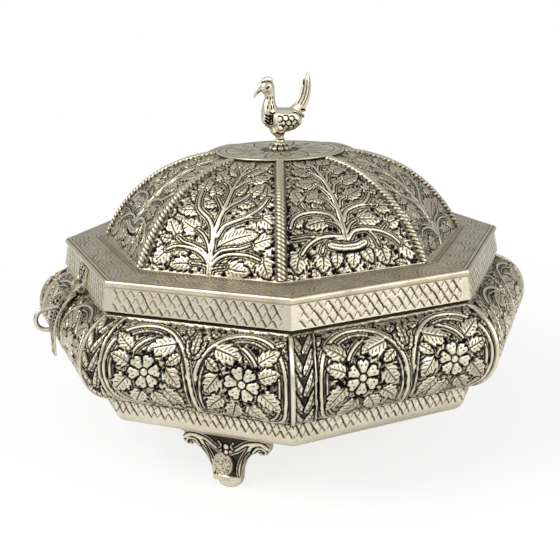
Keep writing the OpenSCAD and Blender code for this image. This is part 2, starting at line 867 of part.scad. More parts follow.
module cover(number) {
    lip_r = cup_r - 1.5 - cup_t - seat_gap;
    knob_z = cover_dome_z - cover_z + knob_r * 0.8;
    color(plain_silver)
        at_cup(number)
            translate([0, 0, cover_z]) {
                rotate_extrude($fn = 64)
                    polygon([
                        [0, cover_rise], [lip_r * 0.6, cover_rise * 0.75], [lip_r - cup_t, 0],
                        [lip_r - cup_t, -lip_h], [lip_r, -lip_h], [lip_r, 0], [cup_r, 0],
                        [cup_r, cup_t], [lip_r - cup_t / 2, cup_t],
                        [lip_r * 0.6, cover_rise * 0.75 + cup_t], [0, cover_rise + cup_t]
                    ]);
                translate([0, 0, cover_rise])
                    cylinder(h = knob_z - cover_rise, r = knob_r * 0.45);
                translate([0, 0, knob_z])
                    sphere(r = knob_r);
            }
}

body_shell();
rim_collar();
tray_ledge();
floor_plate();
base_band();
foot(45, foot_shift);  // foot_front_right
foot(180);  // foot_back
foot(315, -foot_shift);  // foot_front_left
hinge_leaf_body();
hinge_rivets_body();
hinge_pin();
staple();
lid_flange();
lid_skirt();
edge_moulding();
lid_dome();
dome_ropes();
crown_plate();
finial_rosette();
finial_bird();
finial_stud();
finial_washer();
finial_nut();
hinge_leaf_lid();
hinge_rivets_lid();
hasp_bracket();
hasp_pin();
hasp();
tray();
tray_handles();
cup(0);  // cup_middle
cup(1);  // cup_1
cup(2);  // cup_2
cup(3);  // cup_3
cup(4);  // cup_4
cup(5);  // cup_5
cup(6);  // cup_6
cover(0);  // cover_middle
cover(1);  // cover_1
cover(2);  // cover_2
cover(3);  // cover_3
cover(4);  // cover_4
cover(5);  // cover_5
cover(6);  // cover_6
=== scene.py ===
import json
from math import acos, asin, cos, degrees, hypot, pi, radians, sin, sqrt, tan

import bmesh
import bpy
import numpy as np
from mathutils import Matrix, Vector


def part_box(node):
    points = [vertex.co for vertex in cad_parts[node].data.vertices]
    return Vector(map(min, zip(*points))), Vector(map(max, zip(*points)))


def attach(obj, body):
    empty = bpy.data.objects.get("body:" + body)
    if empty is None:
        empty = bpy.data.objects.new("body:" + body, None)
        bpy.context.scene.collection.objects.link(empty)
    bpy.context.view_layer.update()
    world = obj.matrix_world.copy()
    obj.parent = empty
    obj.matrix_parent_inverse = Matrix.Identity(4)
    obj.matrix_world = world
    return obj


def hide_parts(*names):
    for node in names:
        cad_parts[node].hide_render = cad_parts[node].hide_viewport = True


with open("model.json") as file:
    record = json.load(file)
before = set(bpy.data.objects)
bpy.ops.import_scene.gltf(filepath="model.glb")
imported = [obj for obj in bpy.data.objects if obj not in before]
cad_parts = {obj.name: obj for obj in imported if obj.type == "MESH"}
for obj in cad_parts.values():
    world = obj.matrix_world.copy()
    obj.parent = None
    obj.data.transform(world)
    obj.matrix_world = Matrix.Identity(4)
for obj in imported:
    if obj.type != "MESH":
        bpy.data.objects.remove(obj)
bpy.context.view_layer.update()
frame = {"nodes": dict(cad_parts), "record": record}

# Shapes are worked out in millimetres and made in metres
MM = 0.001
# Half the angle that one side of the octagon takes up
HALF_TURN = radians(22.5)
SIDES = ["front", "front_right", "right", "back_right", "back", "back_left", "left", "front_left"]
# Size of a cell of the chased surfaces
CELL = 0.4
# How far the highest worked forms lie below the outside
CREST = 0.05
# Patina of silver that no tool has touched
BARE = 0.12
# Material slots of the record
CHASED, PLAIN, DARK = "chased_silver", "plain_silver", "dark_silver"


def span(node):
    """Lowest and highest corner of a CAD piece, in millimetres"""
    low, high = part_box(node)
    return low / MM, high / MM


bulge_low, bulge_high = span("body_shell")
band_low, band_high = span("base_band")
skirt_low, skirt_high = span("lid_skirt")
flange_low, flange_high = span("lid_flange")
dome_low, dome_high = span("lid_dome")
crown_low, crown_high = span("crown_plate")

# Profile of the bulge: an arc round a middle that lies inside the body
BULGE_ARC_R = 19.5
WAIST_P = band_high.x
bulge_mid_p = bulge_high.x - BULGE_ARC_R
waist_z = bulge_low.z
bulge_from = -acos((WAIST_P - bulge_mid_p) / BULGE_ARC_R)
bulge_mid_z = waist_z - BULGE_ARC_R * sin(bulge_from)
bulge_to = asin((bulge_high.z - bulge_mid_z) / BULGE_ARC_R)
bulge_rise = BULGE_ARC_R * (bulge_to - bulge_from)

# Profile of the dome along its corners: an arc from the flange to the crown plate
DOME_ARC_R = 65.7
# The dome sits turned on its flange, clockwise from above
DOME_TURN = radians(1.9)
SHEET = 1.3
lid_z = flange_high.z
dome_h = dome_high.z - lid_z
dome_p = dome_high.x * cos(HALF_TURN) / cos(HALF_TURN - DOME_TURN)
dome_foot_r = dome_p / cos(HALF_TURN)
dome_top_r = crown_high.x - SHEET / 2
chord = hypot(dome_foot_r - dome_top_r, dome_h)
chord_drop = sqrt(DOME_ARC_R ** 2 - chord ** 2 / 4)
dome_mid_r = (dome_foot_r + dome_top_r) / 2 - chord_drop * dome_h / chord
dome_mid_z = lid_z + dome_h / 2 - chord_drop * (dome_foot_r - dome_top_r) / chord
dome_from = asin((lid_z - dome_mid_z) / DOME_ARC_R)
dome_to = asin((dome_high.z - dome_mid_z) / DOME_ARC_R)
dome_rise = DOME_ARC_R * (dome_to - dome_from)
# The flange reaches in under the turned dome
flange_in_p = dome_p - 2.4


# Tools of the chaser: each draws on a sheet laid flat, in millimetres

def ramp(value, start, end):
    """0 up to start, 1 past end, and a smooth rise between"""
    share = np.clip((value - start) / (end - start), 0, 1)
    return share * share * (3 - 2 * share)


def hashed(i, j, salt):
    """A number from 0 to 1 that looks random, the same each time for the same cell"""
    wave = np.sin(i * 12.9898 + j * 78.233 + salt * 37.719) * 43758.5453
    return wave - np.floor(wave)


def smooth_line(points, steps=7):
    """A curve through the points, as many short straight stretches"""
    p = np.array(points, float)
    p = np.vstack([2 * p[0] - p[1], p, 2 * p[-1] - p[-2]])
    t = np.arange(steps)[:, None] / steps
    parts = []
    for a, b, c, d in zip(p, p[1:], p[2:], p[3:]):
        parts.append(b + 0.5 * t * (c - a + t * (2 * a - 5 * b + 4 * c - d + t * (3 * (b - c) + d - a))))
    return np.vstack(parts + [p[-2:-1]])


class Sheet:
    """Points of a silver sheet. depth is how far each lies below the outside, in millimetres, and
    dark is its patina, from 0, rubbed bright, to 1, black. worked is 1 where a tool has been."""

    def __init__(self, u, v, seed):
        self.u, self.v = u, v
        self.depth = np.zeros_like(u)
        self.dark = np.full_like(u, BARE)
        self.worked = np.zeros_like(u)
        self.rng = np.random.default_rng(seed)

    def shifted(self, u):
        """The same sheet, with its points told by other distances along the side"""
        other = Sheet.__new__(Sheet)
        other.__dict__ = dict(self.__dict__, u=u)
        return other

    def near(self, points, margin):
        """Numbers of the sheet's points that lie round some points, within a margin"""
        low = np.min(points, axis=0) - margin
        high = np.max(points, axis=0) + margin
        inside = (self.u > low[0]) & (self.u < high[0]) & (self.v > low[1]) & (self.v < high[1])
        return np.flatnonzero(inside)

    def lay(self, at, cover, depth, dark):
        """Draw points towards a depth and a patina, as far as their cover says"""
        self.depth[at] += cover * (depth - self.depth[at])
        self.dark[at] += cover * (dark - self.dark[at])
        self.worked[at] = np.maximum(self.worked[at], cover)

    def to_line(self, at, line):
        """Distance of the points from a line, and how far along it each is, from 0 to 1"""
        start, along = line[:-1], np.diff(line, axis=0)
        square = np.maximum((along ** 2).sum(1), 1e-9)
        du = self.u[at][:, None] - start[:, 0]
        dv = self.v[at][:, None] - start[:, 1]
        t = np.clip((du * along[:, 0] + dv * along[:, 1]) / square, 0, 1)
        gap = np.hypot(du - t * along[:, 0], dv - t * along[:, 1])
        best = gap.argmin(1)
        row = np.arange(len(at))
        return gap[row, best], (best + t[row, best]) / len(along)

    def matting(self, depth=0.65, pitch=1.05, dark=0.3):
        """Ground sunk below the pattern and matted with a small punch"""
        i, j = np.floor(self.u / pitch), np.floor(self.v / pitch)
        du = self.u - (i + 0.3 + 0.4 * hashed(i, j, 1)) * pitch
        dv = self.v - (j + 0.3 + 0.4 * hashed(i, j, 2)) * pitch
        dot = ramp(np.hypot(du, dv), pitch * 0.45, pitch * 0.2) * ramp(hashed(i, j, 3), 0.3, 0.6)
        patch = hashed(np.floor(self.u / 2.7), np.floor(self.v / 2.3), 4) - 0.5
        grain = self.rng.random(len(self.u)) - 0.5
        self.depth[:] = depth + 0.3 * dot + 0.14 * grain
        self.dark[:] = dark + 0.55 * dot + 0.18 * patch + 0.22 * grain

    def squares(self, pitch):
        """The sheet's lowest corner, with the column and row of each square of a grid laid over it"""
        low = np.array([self.u.min(), self.v.min()])
        high = np.array([self.u.max(), self.v.max()])
        for i in range(int((high[0] - low[0]) / pitch)):
            for j in range(int((high[1] - low[1]) / pitch)):
                yield low, np.array([i, j])

    def sprigs(self, pitch, length):
        """Small leaves wherever the ground is still wide open"""
        for low, square in self.squares(pitch):
            spot = low + (square + 0.3 + 0.4 * self.rng.random(2)) * pitch
            turn = self.rng.random() * 2 * pi
            at = self.near([spot], length * 0.4)
            if len(at) and np.mean(self.worked[at] > 0.3) < 0.22:
                step = np.array([cos(turn), sin(turn)]) * length / 2
                self.leaf(spot - step, spot + step, length * 0.72, teeth=3)

    def pierce(self, pitch=3.6, radius=0.85):
        """Round black pits wherever the ground is open, in nine squares out of ten"""
        for low, square in self.squares(pitch):
            middle = low + (square + 0.5) * pitch
            chance = self.rng.random()
            for _ in range(3):
                spot = middle + (self.rng.random(2) - 0.5) * pitch
                at = self.near([spot], radius)
                if chance < 0.9 and len(at) and self.worked[at].mean() < 0.3:
                    self.pit(spot, radius * (0.75 + 0.4 * chance))
                    break

    def pit(self, spot, radius):
        """Deep black hollow, not quite round"""
        at = self.near([spot], radius + 0.6)
        du, dv = self.u[at] - spot[0], self.v[at] - spot[1]
        gap = np.hypot(du, dv) * (1 + 0.16 * np.sin(3 * np.arctan2(dv, du) + spot[0] * 5))
        self.lay(at, ramp(gap, radius + 0.22, radius - 0.12), 1.8, 1.0)

    def pits_along(self, points, pitch, radius):
        line = smooth_line(points)
        lengths = np.concatenate([[0], np.cumsum(np.hypot(*np.diff(line, axis=0).T))])
        for mark in np.arange(pitch / 2, lengths[-1], pitch):
            self.pit([np.interp(mark, lengths, line[:, 0]), np.interp(mark, lengths, line[:, 1])], radius)

    def groove(self, points, wide, depth, dark=0.95, smooth=True):
        """Line cut with a graver, deeper than whatever it crosses"""
        line = smooth_line(points) if smooth else np.array(points, float)
        at = self.near(line, wide + 0.3)
        gap, _ = self.to_line(at, line)
        cut = ramp(gap, wide * 0.5 + 0.22, wide * 0.5 - 0.12)
        self.depth[at] += cut * depth
        self.dark[at] += cut * (dark - self.dark[at])
        self.worked[at] = np.maximum(self.worked[at], cut * 0.6)

    def stems(self, branches):
        """Rounded stems that grow out of each other, with a black line round them and a fine one outside"""
        off = np.full(len(self.u), 9.0)
        half = np.ones(len(self.u))
        for points, wide, thin in branches:
            line = smooth_line(points)
            at = self.near(line, wide / 2 + 2)
            gap, share = self.to_line(at, line)
            reach = (wide + (thin - wide) * share) / 2
            nearer = gap - reach < off[at]
            off[at[nearer]] = (gap - reach)[nearer]
            half[at[nearer]] = reach[nearer]
        at = np.flatnonzero(off < 1.5)
        off, half = off[at], half[at]
        inside = CREST + 0.4 * np.clip(1 + off / half, 0, 1) ** 3
        outside = np.interp(off, [0, 0.25, 0.5, 0.75, 1.0, 1.3], [0.6, 1.1, 0.7, 0.25, 0.8, 0.8])
        depth = np.where(off < 0, inside, outside)
        dark = np.interp(off, [-0.15, 0.0, 0.4, 0.56, 0.85, 1.0, 1.35], [0.1, 0.9, 1.0, 0.2, 0.1, 0.9, 0.9])
        # The thick stems have a line along their middle
        middle = ramp(np.abs(1 + off / half), 0.3, 0.1) * ramp(half, 0.85, 1.1)
        self.lay(at, ramp(off, 1.5, 1.3), depth + 0.25 * middle, np.maximum(dark, 0.6 * middle))

    def rib(self, points, wide):
        """Narrow raised line with a furrow at each side"""
        line = smooth_line(points)
        at = self.near(line, wide / 2 + 1)
        gap, _ = self.to_line(at, line)
        off = gap - wide / 2
        depth = np.interp(off, [-0.2, 0.1, 0.4, 0.8], [0.2, 0.8, 1.2, 1.0])
        shade = np.interp(off, [-0.1, 0.15, 0.5, 0.8], [0.1, 0.9, 0.95, 0.5])
        self.lay(at, ramp(off, 0.85, 0.55), depth, shade)

    def leaf(self, base, tip, wide, teeth=4, bend=0.0, veins=1.9):
        """Lobed leaf with a midrib and hatched veins, drawn round with a black line"""
        base, tip = np.array(base, float), np.array(tip, float)
        length = hypot(*(tip - base))
        along = (tip - base) / length
        at = self.near([base, tip], wide / 2 + 1.6)
        du, dv = self.u[at] - base[0], self.v[at] - base[1]
        s = (du * along[0] + dv * along[1]) / length
        t = du * -along[1] + dv * along[0] - bend * length * 4 * s * (1 - s)
        inner = np.clip(s, 0, 1)
        # Powers that shape the outline below and above its widest place
        heart, blade = 0.5, 0.85
        peak = heart / (heart + blade)
        outline = (inner / peak) ** heart * ((1 - inner) / (1 - peak)) ** blade
        tooth = (inner * teeth + 0.3 * (t > 0)) % 1 if teeth else 0.6
        half = wide / 2 * outline * (0.8 + 0.36 * tooth)
        edge = half - np.hypot(t, (s - inner) * length)
        side = np.clip(np.abs(t) / np.maximum(half, 0.2), 0, 1)
        depth = CREST + 0.35 * side ** 2 + 0.2 * (1 - side) * ramp(s, 0.5, 0)
        tone = 0.04 + 0.16 * self.rng.random()
        dark = tone + 0.1 * (1 - side) + 0.14 * (self.rng.random(len(at)) - 0.5)
        rib = ramp(np.abs(t), 0.42, 0.12) * ramp(s, 0.93, 0.8)
        vein_line = np.abs((s * length - np.abs(t) * 0.8) / veins % 1 - 0.5)
        vein = ramp(vein_line, 0.22, 0.06) * ramp(side, 0.12, 0.3) * ramp(side, 0.85, 0.6)
        depth = depth + 0.35 * rib + 0.3 * vein
        dark = np.maximum(dark, np.maximum(0.85 * rib, 0.75 * vein))
        depth = np.where(edge < 0, np.interp(-edge, [0, 0.25, 0.6, 0.9], [0.6, 1.2, 1.0, 0.65]), depth)
        outline_dark = np.interp(-edge, [-0.05, 0.1, 0.6, 0.8, 1.0], [0.8, 1, 1, 0.6, 0.3])
        dark = np.where(edge < 0.05, outline_dark, dark)
        self.lay(at, ramp(-edge, 1.0, 0.75), depth, dark)

    def blossom(self, spot, radius, petals, turn, bead):
        """Flower of notched petals round a pearl"""
        at = self.near([spot], radius + 1.4)
        du, dv = self.u[at] - spot[0], self.v[at] - spot[1]
        gap = np.hypot(du, dv)
        sector = (np.arctan2(dv, du) - turn) / (2 * pi) * petals % 1
        across = np.abs(sector - 0.5) * 2
        rim = radius * (0.66 + 0.34 * np.sqrt(np.clip(1 - across ** 2, 0, 1)) - 0.13 * ramp(across, 0.25, 0))
        edge = rim - gap
        depth = 0.15 + 0.5 * across ** 3 + 0.2 * ramp(gap, radius * 0.5, bead)
        dark = np.where(across > 0.78, 0.95, 0.14)
        depth = np.where(across > 0.78, 1.2, depth)
        hollow = ramp(np.hypot((across - 0.34) * radius * 0.55, gap - radius * 0.68), 0.55, 0.25)
        depth = depth + 0.5 * hollow
        dark = np.maximum(dark, 0.85 * hollow)
        dark = dark + 0.16 * (self.rng.random(len(at)) - 0.5)
        depth = np.where(edge < 0, np.interp(-edge, [0, 0.3, 0.6, 0.9], [0.7, 1.3, 1.0, 0.65]), depth)
        dark = np.where(edge < 0.1, np.interp(-edge, [-0.1, 0.1, 0.8, 1.0, 1.2], [0.8, 1, 1, 0.6, 0.3]), dark)
        depth = np.where(gap < bead, 0.05 + 0.4 * (gap / bead) ** 2, depth)
        dark = np.where(gap < bead, 0.04, dark)
        ring = ramp(np.abs(gap - bead - 0.25), 0.45, 0.15)
        depth = depth + ring * 0.7
        dark = np.maximum(dark, ring)
        self.lay(at, ramp(-edge, 1.1, 0.75), depth, dark)

    def pearl(self, spot, radius):
        """Small round knob with a black ring"""
        at = self.near([spot], radius + 0.8)
        gap = np.hypot(self.u[at] - spot[0], self.v[at] - spot[1])
        rings = [0, radius * 0.6, radius, radius + 0.3, radius + 0.6]
        depth = np.interp(gap, rings, [0.05, 0.2, 0.9, 1.3, 1.0])
        dark = np.interp(gap, [radius * 0.8, radius, radius + 0.45, radius + 0.7], [0.04, 0.8, 0.95, 0.5])
        self.lay(at, ramp(gap, radius + 0.7, radius + 0.4), depth, dark)

    def scales(self, low, high, pitch, rows):
        """Rows of pointed scales: a heavy stroke falls to the right of each point, a light one to its left"""
        step = (high - low) / rows
        for row in range(rows):
            fall = (high - row * step - self.v) / step
            bow = np.clip(fall, 0, 1.3) ** 0.85 * 0.5
            place = self.u / pitch + 0.5 * (row % 2) + 0.06 * np.sin(self.u * 0.37 + row * 2)
            for lean, wide, weight, reach in ((-1, 0.5, 1.0, 1.2), (1, 0.28, 0.7, 0.8)):
                across = place + lean * bow
                number = np.round(across)
                luck = hashed(number, row, lean + 3)
                gap = np.abs(across - number) * pitch * 0.85
                length = reach * (0.75 + 0.3 * luck)
                cut = ramp(gap, wide * 0.5 + 0.2, wide * 0.5 - 0.1) * ramp(fall, -0.04, 0.06)
                cut = cut * ramp(fall, length, length - 0.2)
                cut = cut * weight * (0.6 + 0.4 * luck) * ramp(self.v, low - 0.2, low + 0.3)
                self.depth += cut * 0.35
                self.dark += cut * (0.95 - self.dark)

    def ruled(self, coordinate, at, wide, depth, dark=0.9):
        """Line at one value of a coordinate"""
        cut = ramp(np.abs(coordinate - at), wide * 0.5 + 0.2, wide * 0.5 - 0.12)
        self.depth += cut * depth
        self.dark += cut * (dark - self.dark)


# Patterns of the box

def wheat_ear(sheet, wide, high):
    """Strip of paired leaves that rise from a middle line, between double plain lines"""
    pitch, middle = 8.2, wide / 2
    inside = sheet.u < wide + 1.6
    sheet.depth[inside] = 0.8
    sheet.dark[inside] = 0.8
    for i in range(int(high / pitch) + 1, -2, -1):
        v = i * pitch
        for side in (-1, 1):
            tip = (middle + side * wide * 0.45, v + pitch * 1.3)
            sheet.leaf((middle + side * 0.3, v), tip, wide * 0.46, teeth=0, veins=2.4, bend=-0.1 * side)
    for line in (0.5, wide, wide + 1.5):
        sheet.ruled(sheet.u, line, 0.55, 0.6)
    rim = np.abs(sheet.u - wide - 0.75) < 0.4
    sheet.depth[rim] = 0.1
    sheet.dark[rim] = 0.12


def roundel(sheet):
    """Vine that rises from the foot of the side, goes over and comes down round a flower"""
    sheet.stems([
        ([(4.2, -2), (4.1, 10), (4.6, 22), (6, 32), (9.6, 39.5), (16, 45.3), (24, 47.6), (32, 46), (38.4, 41),
          (42.3, 33), (43, 24), (41, 14), (36.5, 7.5), (29, 3.5)], 1.7, 1.3),
        ([(11, 41.4), (17, 43.4), (23, 42), (28, 38.4), (30.4, 34.6), (29.8, 31)], 1.6, 1.0),
        ([(5.4, 27), (9.4, 30.6), (13, 31), (15.8, 29.4)], 1.4, 0.9),
    ])
    sheet.rib([(6.9, 12), (7, 22), (8.2, 31), (11.5, 38), (17, 43), (24.5, 45), (31, 43.4), (36.4, 39),
               (39.8, 32.4), (40.5, 24), (38.6, 15.5), (34.5, 9.8), (28, 6)], 0.7)
    sheet.pits_along([(8.9, 12), (8.6, 22), (9.8, 31), (13, 37.4), (18, 41.4), (24.5, 43), (30.4, 41.6),
                      (34.9, 37.8), (37.9, 32), (38.5, 24), (36.9, 16.6)], 3.3, 0.62)
    leaves = [((12.4, 40.4), (24.4, 36.8), 8.4), ((16, 31.2), (9.2, 22.4), 7.8), ((31.2, 36.4), (39, 42.6), 6.8),
              ((32.2, 30.6), (40.6, 33.8), 6.2), ((32.4, 25), (40, 16.4), 7.8), ((16.4, 20.8), (9.2, 13), 6.8),
              ((27.2, 18.6), (33.6, 9), 7.2), ((21.8, 18.4), (17, 7.8), 7.2), ((9.6, 36), (15.4, 31.8), 4.4)]
    for base, tip, wide in leaves:
        twist = sheet.rng.normal(0, 0.35, 2)
        sheet.leaf(base, np.array(tip) + twist, wide, bend=sheet.rng.normal(0, 0.03))
    flower = (25, 27.4)
    sheet.blossom(flower, 7.4, 6, 0.3 + sheet.rng.normal(0, 0.1), 1.6)
    for angle in range(6):
        turn = angle * pi / 3 + 0.85
        sheet.pit((flower[0] + 9.1 * cos(turn), flower[1] + 9.1 * sin(turn)), 0.9)


def side_pattern(a, b, seed):
    """One side of the body: a wheat-ear strip beside the corner, then two mirrored roundels"""
    v = b * bulge_rise
    angle = bulge_from + (bulge_to - bulge_from) * b
    half = (bulge_mid_p + BULGE_ARC_R * np.cos(angle)) * tan(HALF_TURN)
    u = a * half
    sheet = Sheet(u, v, seed)
    sheet.matting(dark=0.34)
    axis = 4.0
    for side in (u, 2 * axis - u):
        roundel(sheet.shifted(side))
    for side in (-1, 1):
        sheet.leaf((axis, 35), (axis + side * 4.2, 43.2), 3.4, teeth=3)
        sheet.leaf((axis + side * 1.2, 2), (axis + side * 8.5, 7.5), 4.4, teeth=3)
    sheet.leaf((axis, 37), (axis, 47.5), 3.6, teeth=3)
    sheet.sprigs(5.4, 4.4)
    sheet.pierce(3.1, 0.75)
    strip = sheet.shifted(u + half)
    wheat_ear(strip, 8.4, bulge_rise)
    rim = ramp(half - u, 1.5, 1.1)
    sheet.lay(np.arange(len(u)), rim, 0.05, 0.1)
    sheet.ruled(half - u, 1.7, 0.5, 0.5)
    for low in (0.9, 2.6):
        sheet.ruled(v, low, 0.5, 0.4)
    top = ramp(v, bulge_rise - 2.6, bulge_rise - 2.3)
    sheet.lay(np.arange(len(u)), top, 0.1, 0.2)
    corner = ramp(np.minimum(half - u, half + u), 0.8, 0.3)
    sheet.lay(np.arange(len(u)), corner, 0.0, 0.1)
    return sheet


TREE = {
    "stems": [
        ([(-2.5, -1), (-2.9, 8), (-3.2, 16), (-2.8, 24), (-2, 33), (-1.6, 43), (-1.2, 52), (-1, 60)], 2.9, 1.3),
        ([(-3.4, 5.5), (-6, 8.6), (-10, 10.8), (-15, 11.8), (-20, 11.7), (-23.6, 10)], 2.0, 1.3),
        ([(-3.6, 8), (-7, 11), (-12, 12.9), (-16.4, 14), (-19.4, 16)], 1.5, 1.0),
        ([(-3.6, 10.5), (-5.4, 14.6), (-8, 18), (-11, 20)], 1.5, 1.0),
        ([(-3.4, 16), (-5, 22), (-7.8, 26), (-11.4, 28.8), (-14, 31.6), (-15.2, 36), (-15.4, 41)], 2.2, 1.4),
        ([(-3, 4), (-7, 5), (-11, 5)], 1.1, 0.9),
        ([(-2, 3), (1, 3.9), (4.6, 4.6)], 1.2, 0.9),
        ([(-1.8, 4.6), (1, 8), (5, 9.9), (10, 10.5), (15, 10.1), (19.6, 8.8)], 1.9, 1.2),
        ([(-2, 7), (1, 10.8), (5, 12.2), (10, 13), (14.4, 14.8)], 1.6, 1.1),
        ([(-1.6, 17.6), (0.4, 22.6), (4, 25), (8.4, 27.4), (12.6, 31), (15.2, 35.4), (16, 38.6)], 2.2, 1.4),
        ([(6.8, 26.6), (10.6, 27.8), (15.2, 28.2)], 1.1, 0.9),
        ([(-2.4, 29), (0.6, 33.4), (4.4, 36.6), (7, 40)], 1.6, 1.0),
        ([(-2.2, 31), (-5, 35), (-7.4, 38)], 1.3, 0.9),
        ([(-1.6, 41), (-4, 46), (-7.4, 49)], 1.5, 1.0),
        ([(-1.4, 43), (1.6, 47.6), (5, 50)], 1.4, 0.9),
        ([(-1, 53), (1, 57.6), (3.4, 61)], 1.3, 0.9),
        ([(-1.2, 54), (-3, 58), (-5, 60.6)], 1.3, 0.9),
    ],
    "leaves": [
        ((-10.6, 19.6), (-20, 23.6), 7.6), ((-19.6, 15.6), (-25.2, 24.8), 6.6),
        ((-23, 10.4), (-28.8, 4.2), 7.4), ((-11, 4.6), (-20.4, 3.4), 5.6), ((4.4, 4.4), (16, 3.2), 7.4),
        ((20.4, 9.6), (24.4, 1.8), 7.8), ((14.4, 14.6), (24, 19.4), 7.2), ((15.4, 28), (22.8, 23.6), 7),
        ((-12.6, 29.6), (-22.6, 28.4), 5.8), ((-15.4, 40.6), (-15.2, 50.4), 6.4),
        ((15.8, 38), (13.8, 47.4), 6.4), ((6.8, 39.6), (11.8, 46.2), 5.6), ((3, 35.8), (11.4, 35.2), 5.2),
        ((-7, 37.6), (-11.6, 45.2), 5.4), ((-5.4, 34.6), (-12.6, 33.2), 4.6),
        ((1.6, 39.6), (4.2, 46.2), 4.0), ((-7, 48.6), (-12.6, 55.4), 5.6), ((4.8, 49.8), (12.4, 54.4), 6),
        ((3.2, 60.4), (7.6, 68.6), 5.6), ((-4.8, 60), (-9.4, 68), 5.6), ((-1, 59), (-0.8, 69.4), 4.8),
        ((1.2, 54), (8.4, 60.6), 4.4), ((-2.4, 53.6), (-8.6, 59.4), 4.4), ((16.2, 34.4), (21.4, 39.4), 4.6),
        ((-15, 35.4), (-20.6, 40), 4.8), ((-22.4, 15.2), (-28.4, 15.6), 4),
    ],
}
MOUND_TREE = {
    "stems": [
        ([(-3.4, 14), (-2.7, 22), (-2.1, 32), (-1.6, 42), (-1.2, 52), (-1, 60)], 3.1, 1.4),
        ([(-5, 16.6), (-10, 17.4), (-15, 17), (-20, 14.8), (-23.2, 12), (-24.4, 10.6)], 1.9, 1.2),
        ([(-4.8, 15.6), (-9.6, 15.2), (-13.4, 13.4), (-15.4, 10.4)], 1.5, 1.0),
        ([(-14, 17.2), (-20, 18.2), (-27, 18)], 1.2, 0.9),
        ([(-3.8, 21), (-6.2, 26.8), (-10, 29), (-15, 29.9), (-20, 29.2), (-23.6, 27), (-26.2, 23)], 2.1, 1.3),
        ([(-15.2, 30), (-16.8, 32.4), (-17.4, 35)], 1.1, 0.9),
        ([(-3.2, 19), (-5.4, 22.6), (-8.6, 24.4)], 1.2, 0.9),
        ([(-2.6, 30), (-4.4, 34.6), (-6.6, 37.6)], 1.5, 0.9),
        ([(-2.2, 37), (-4, 42.4), (-6.4, 46)], 1.5, 0.9),
        ([(-1.6, 47), (-3, 52.6), (-5.4, 55.6)], 1.4, 0.9),
        ([(-2.2, 15.2), (1, 18.2), (5, 18.8), (10, 18), (14, 16.6), (18, 13.8), (20.6, 10.4)], 2.3, 1.3),
        ([(8.4, 17.4), (10.2, 14.4), (11, 10.4)], 1.5, 1.0),
        ([(-1.8, 18.4), (0.8, 21.8), (4.2, 23.6)], 1.3, 0.9),
        ([(13.4, 17), (15.4, 18.6), (17, 19.8)], 1.1, 0.8),
        ([(-1.4, 24), (1, 28.2), (5, 30.2), (10, 31.4), (13.4, 34), (15.4, 37)], 2.1, 1.3),
        ([(8, 30.8), (12, 30.6), (15.4, 30)], 1.1, 0.9),
        ([(-0.8, 31), (0.8, 35), (3.4, 36.4)], 1.3, 0.9),
        ([(-0.4, 40), (1.8, 44.4), (5, 46.4)], 1.4, 0.9),
        ([(-0.2, 48), (1.8, 53), (4.6, 55)], 1.3, 0.9),
        ([(-0.8, 57), (1, 61), (3, 63.4)], 1.2, 0.9),
    ],
    "leaves": [
        ((-24.2, 10.8), (-28, 2.8), 7.4), ((-15.4, 10.6), (-17.4, 2.4), 7),
        ((-8.6, 24.6), (-19.2, 23), 6.2), ((-20, 28.4), (-27.4, 22), 5.6),
        ((-17.4, 34.4), (-18.8, 43.2), 6.2), ((-6.4, 37.4), (-15.2, 36), 6.4),
        ((-6.4, 45.8), (-15, 48.2), 6.4), ((-5.2, 55.4), (-12.8, 56.2), 6), ((-2.4, 61), (-7.4, 68.4), 5.2),
        ((20.6, 10.4), (28.6, 3), 8.2), ((11.2, 10.8), (12.4, 1.8), 6.6), ((4, 23.6), (15.4, 22), 7),
        ((16.8, 19.8), (24.4, 22), 6), ((15, 36.4), (19.2, 45), 6.2), ((15.4, 29.8), (23, 28), 7),
        ((3.2, 36.2), (12.4, 40), 6), ((4.8, 46.2), (15.4, 49.4), 6), ((4.4, 54.8), (13.6, 57), 6.4),
        ((3, 63), (8.4, 68.8), 5.2), ((-7.4, 27.6), (-12.4, 34), 4.4), ((0.6, 60), (-0.6, 69.6), 4.4),
        ((-0.6, 10.4), (-3.6, 3), 5.6), ((3.4, 10.6), (6.4, 3.4), 5), ((-8.4, 10.6), (-10.4, 3.6), 4.8),
        ((-22, 18.4), (-25.6, 21.6), 4),
    ],
}


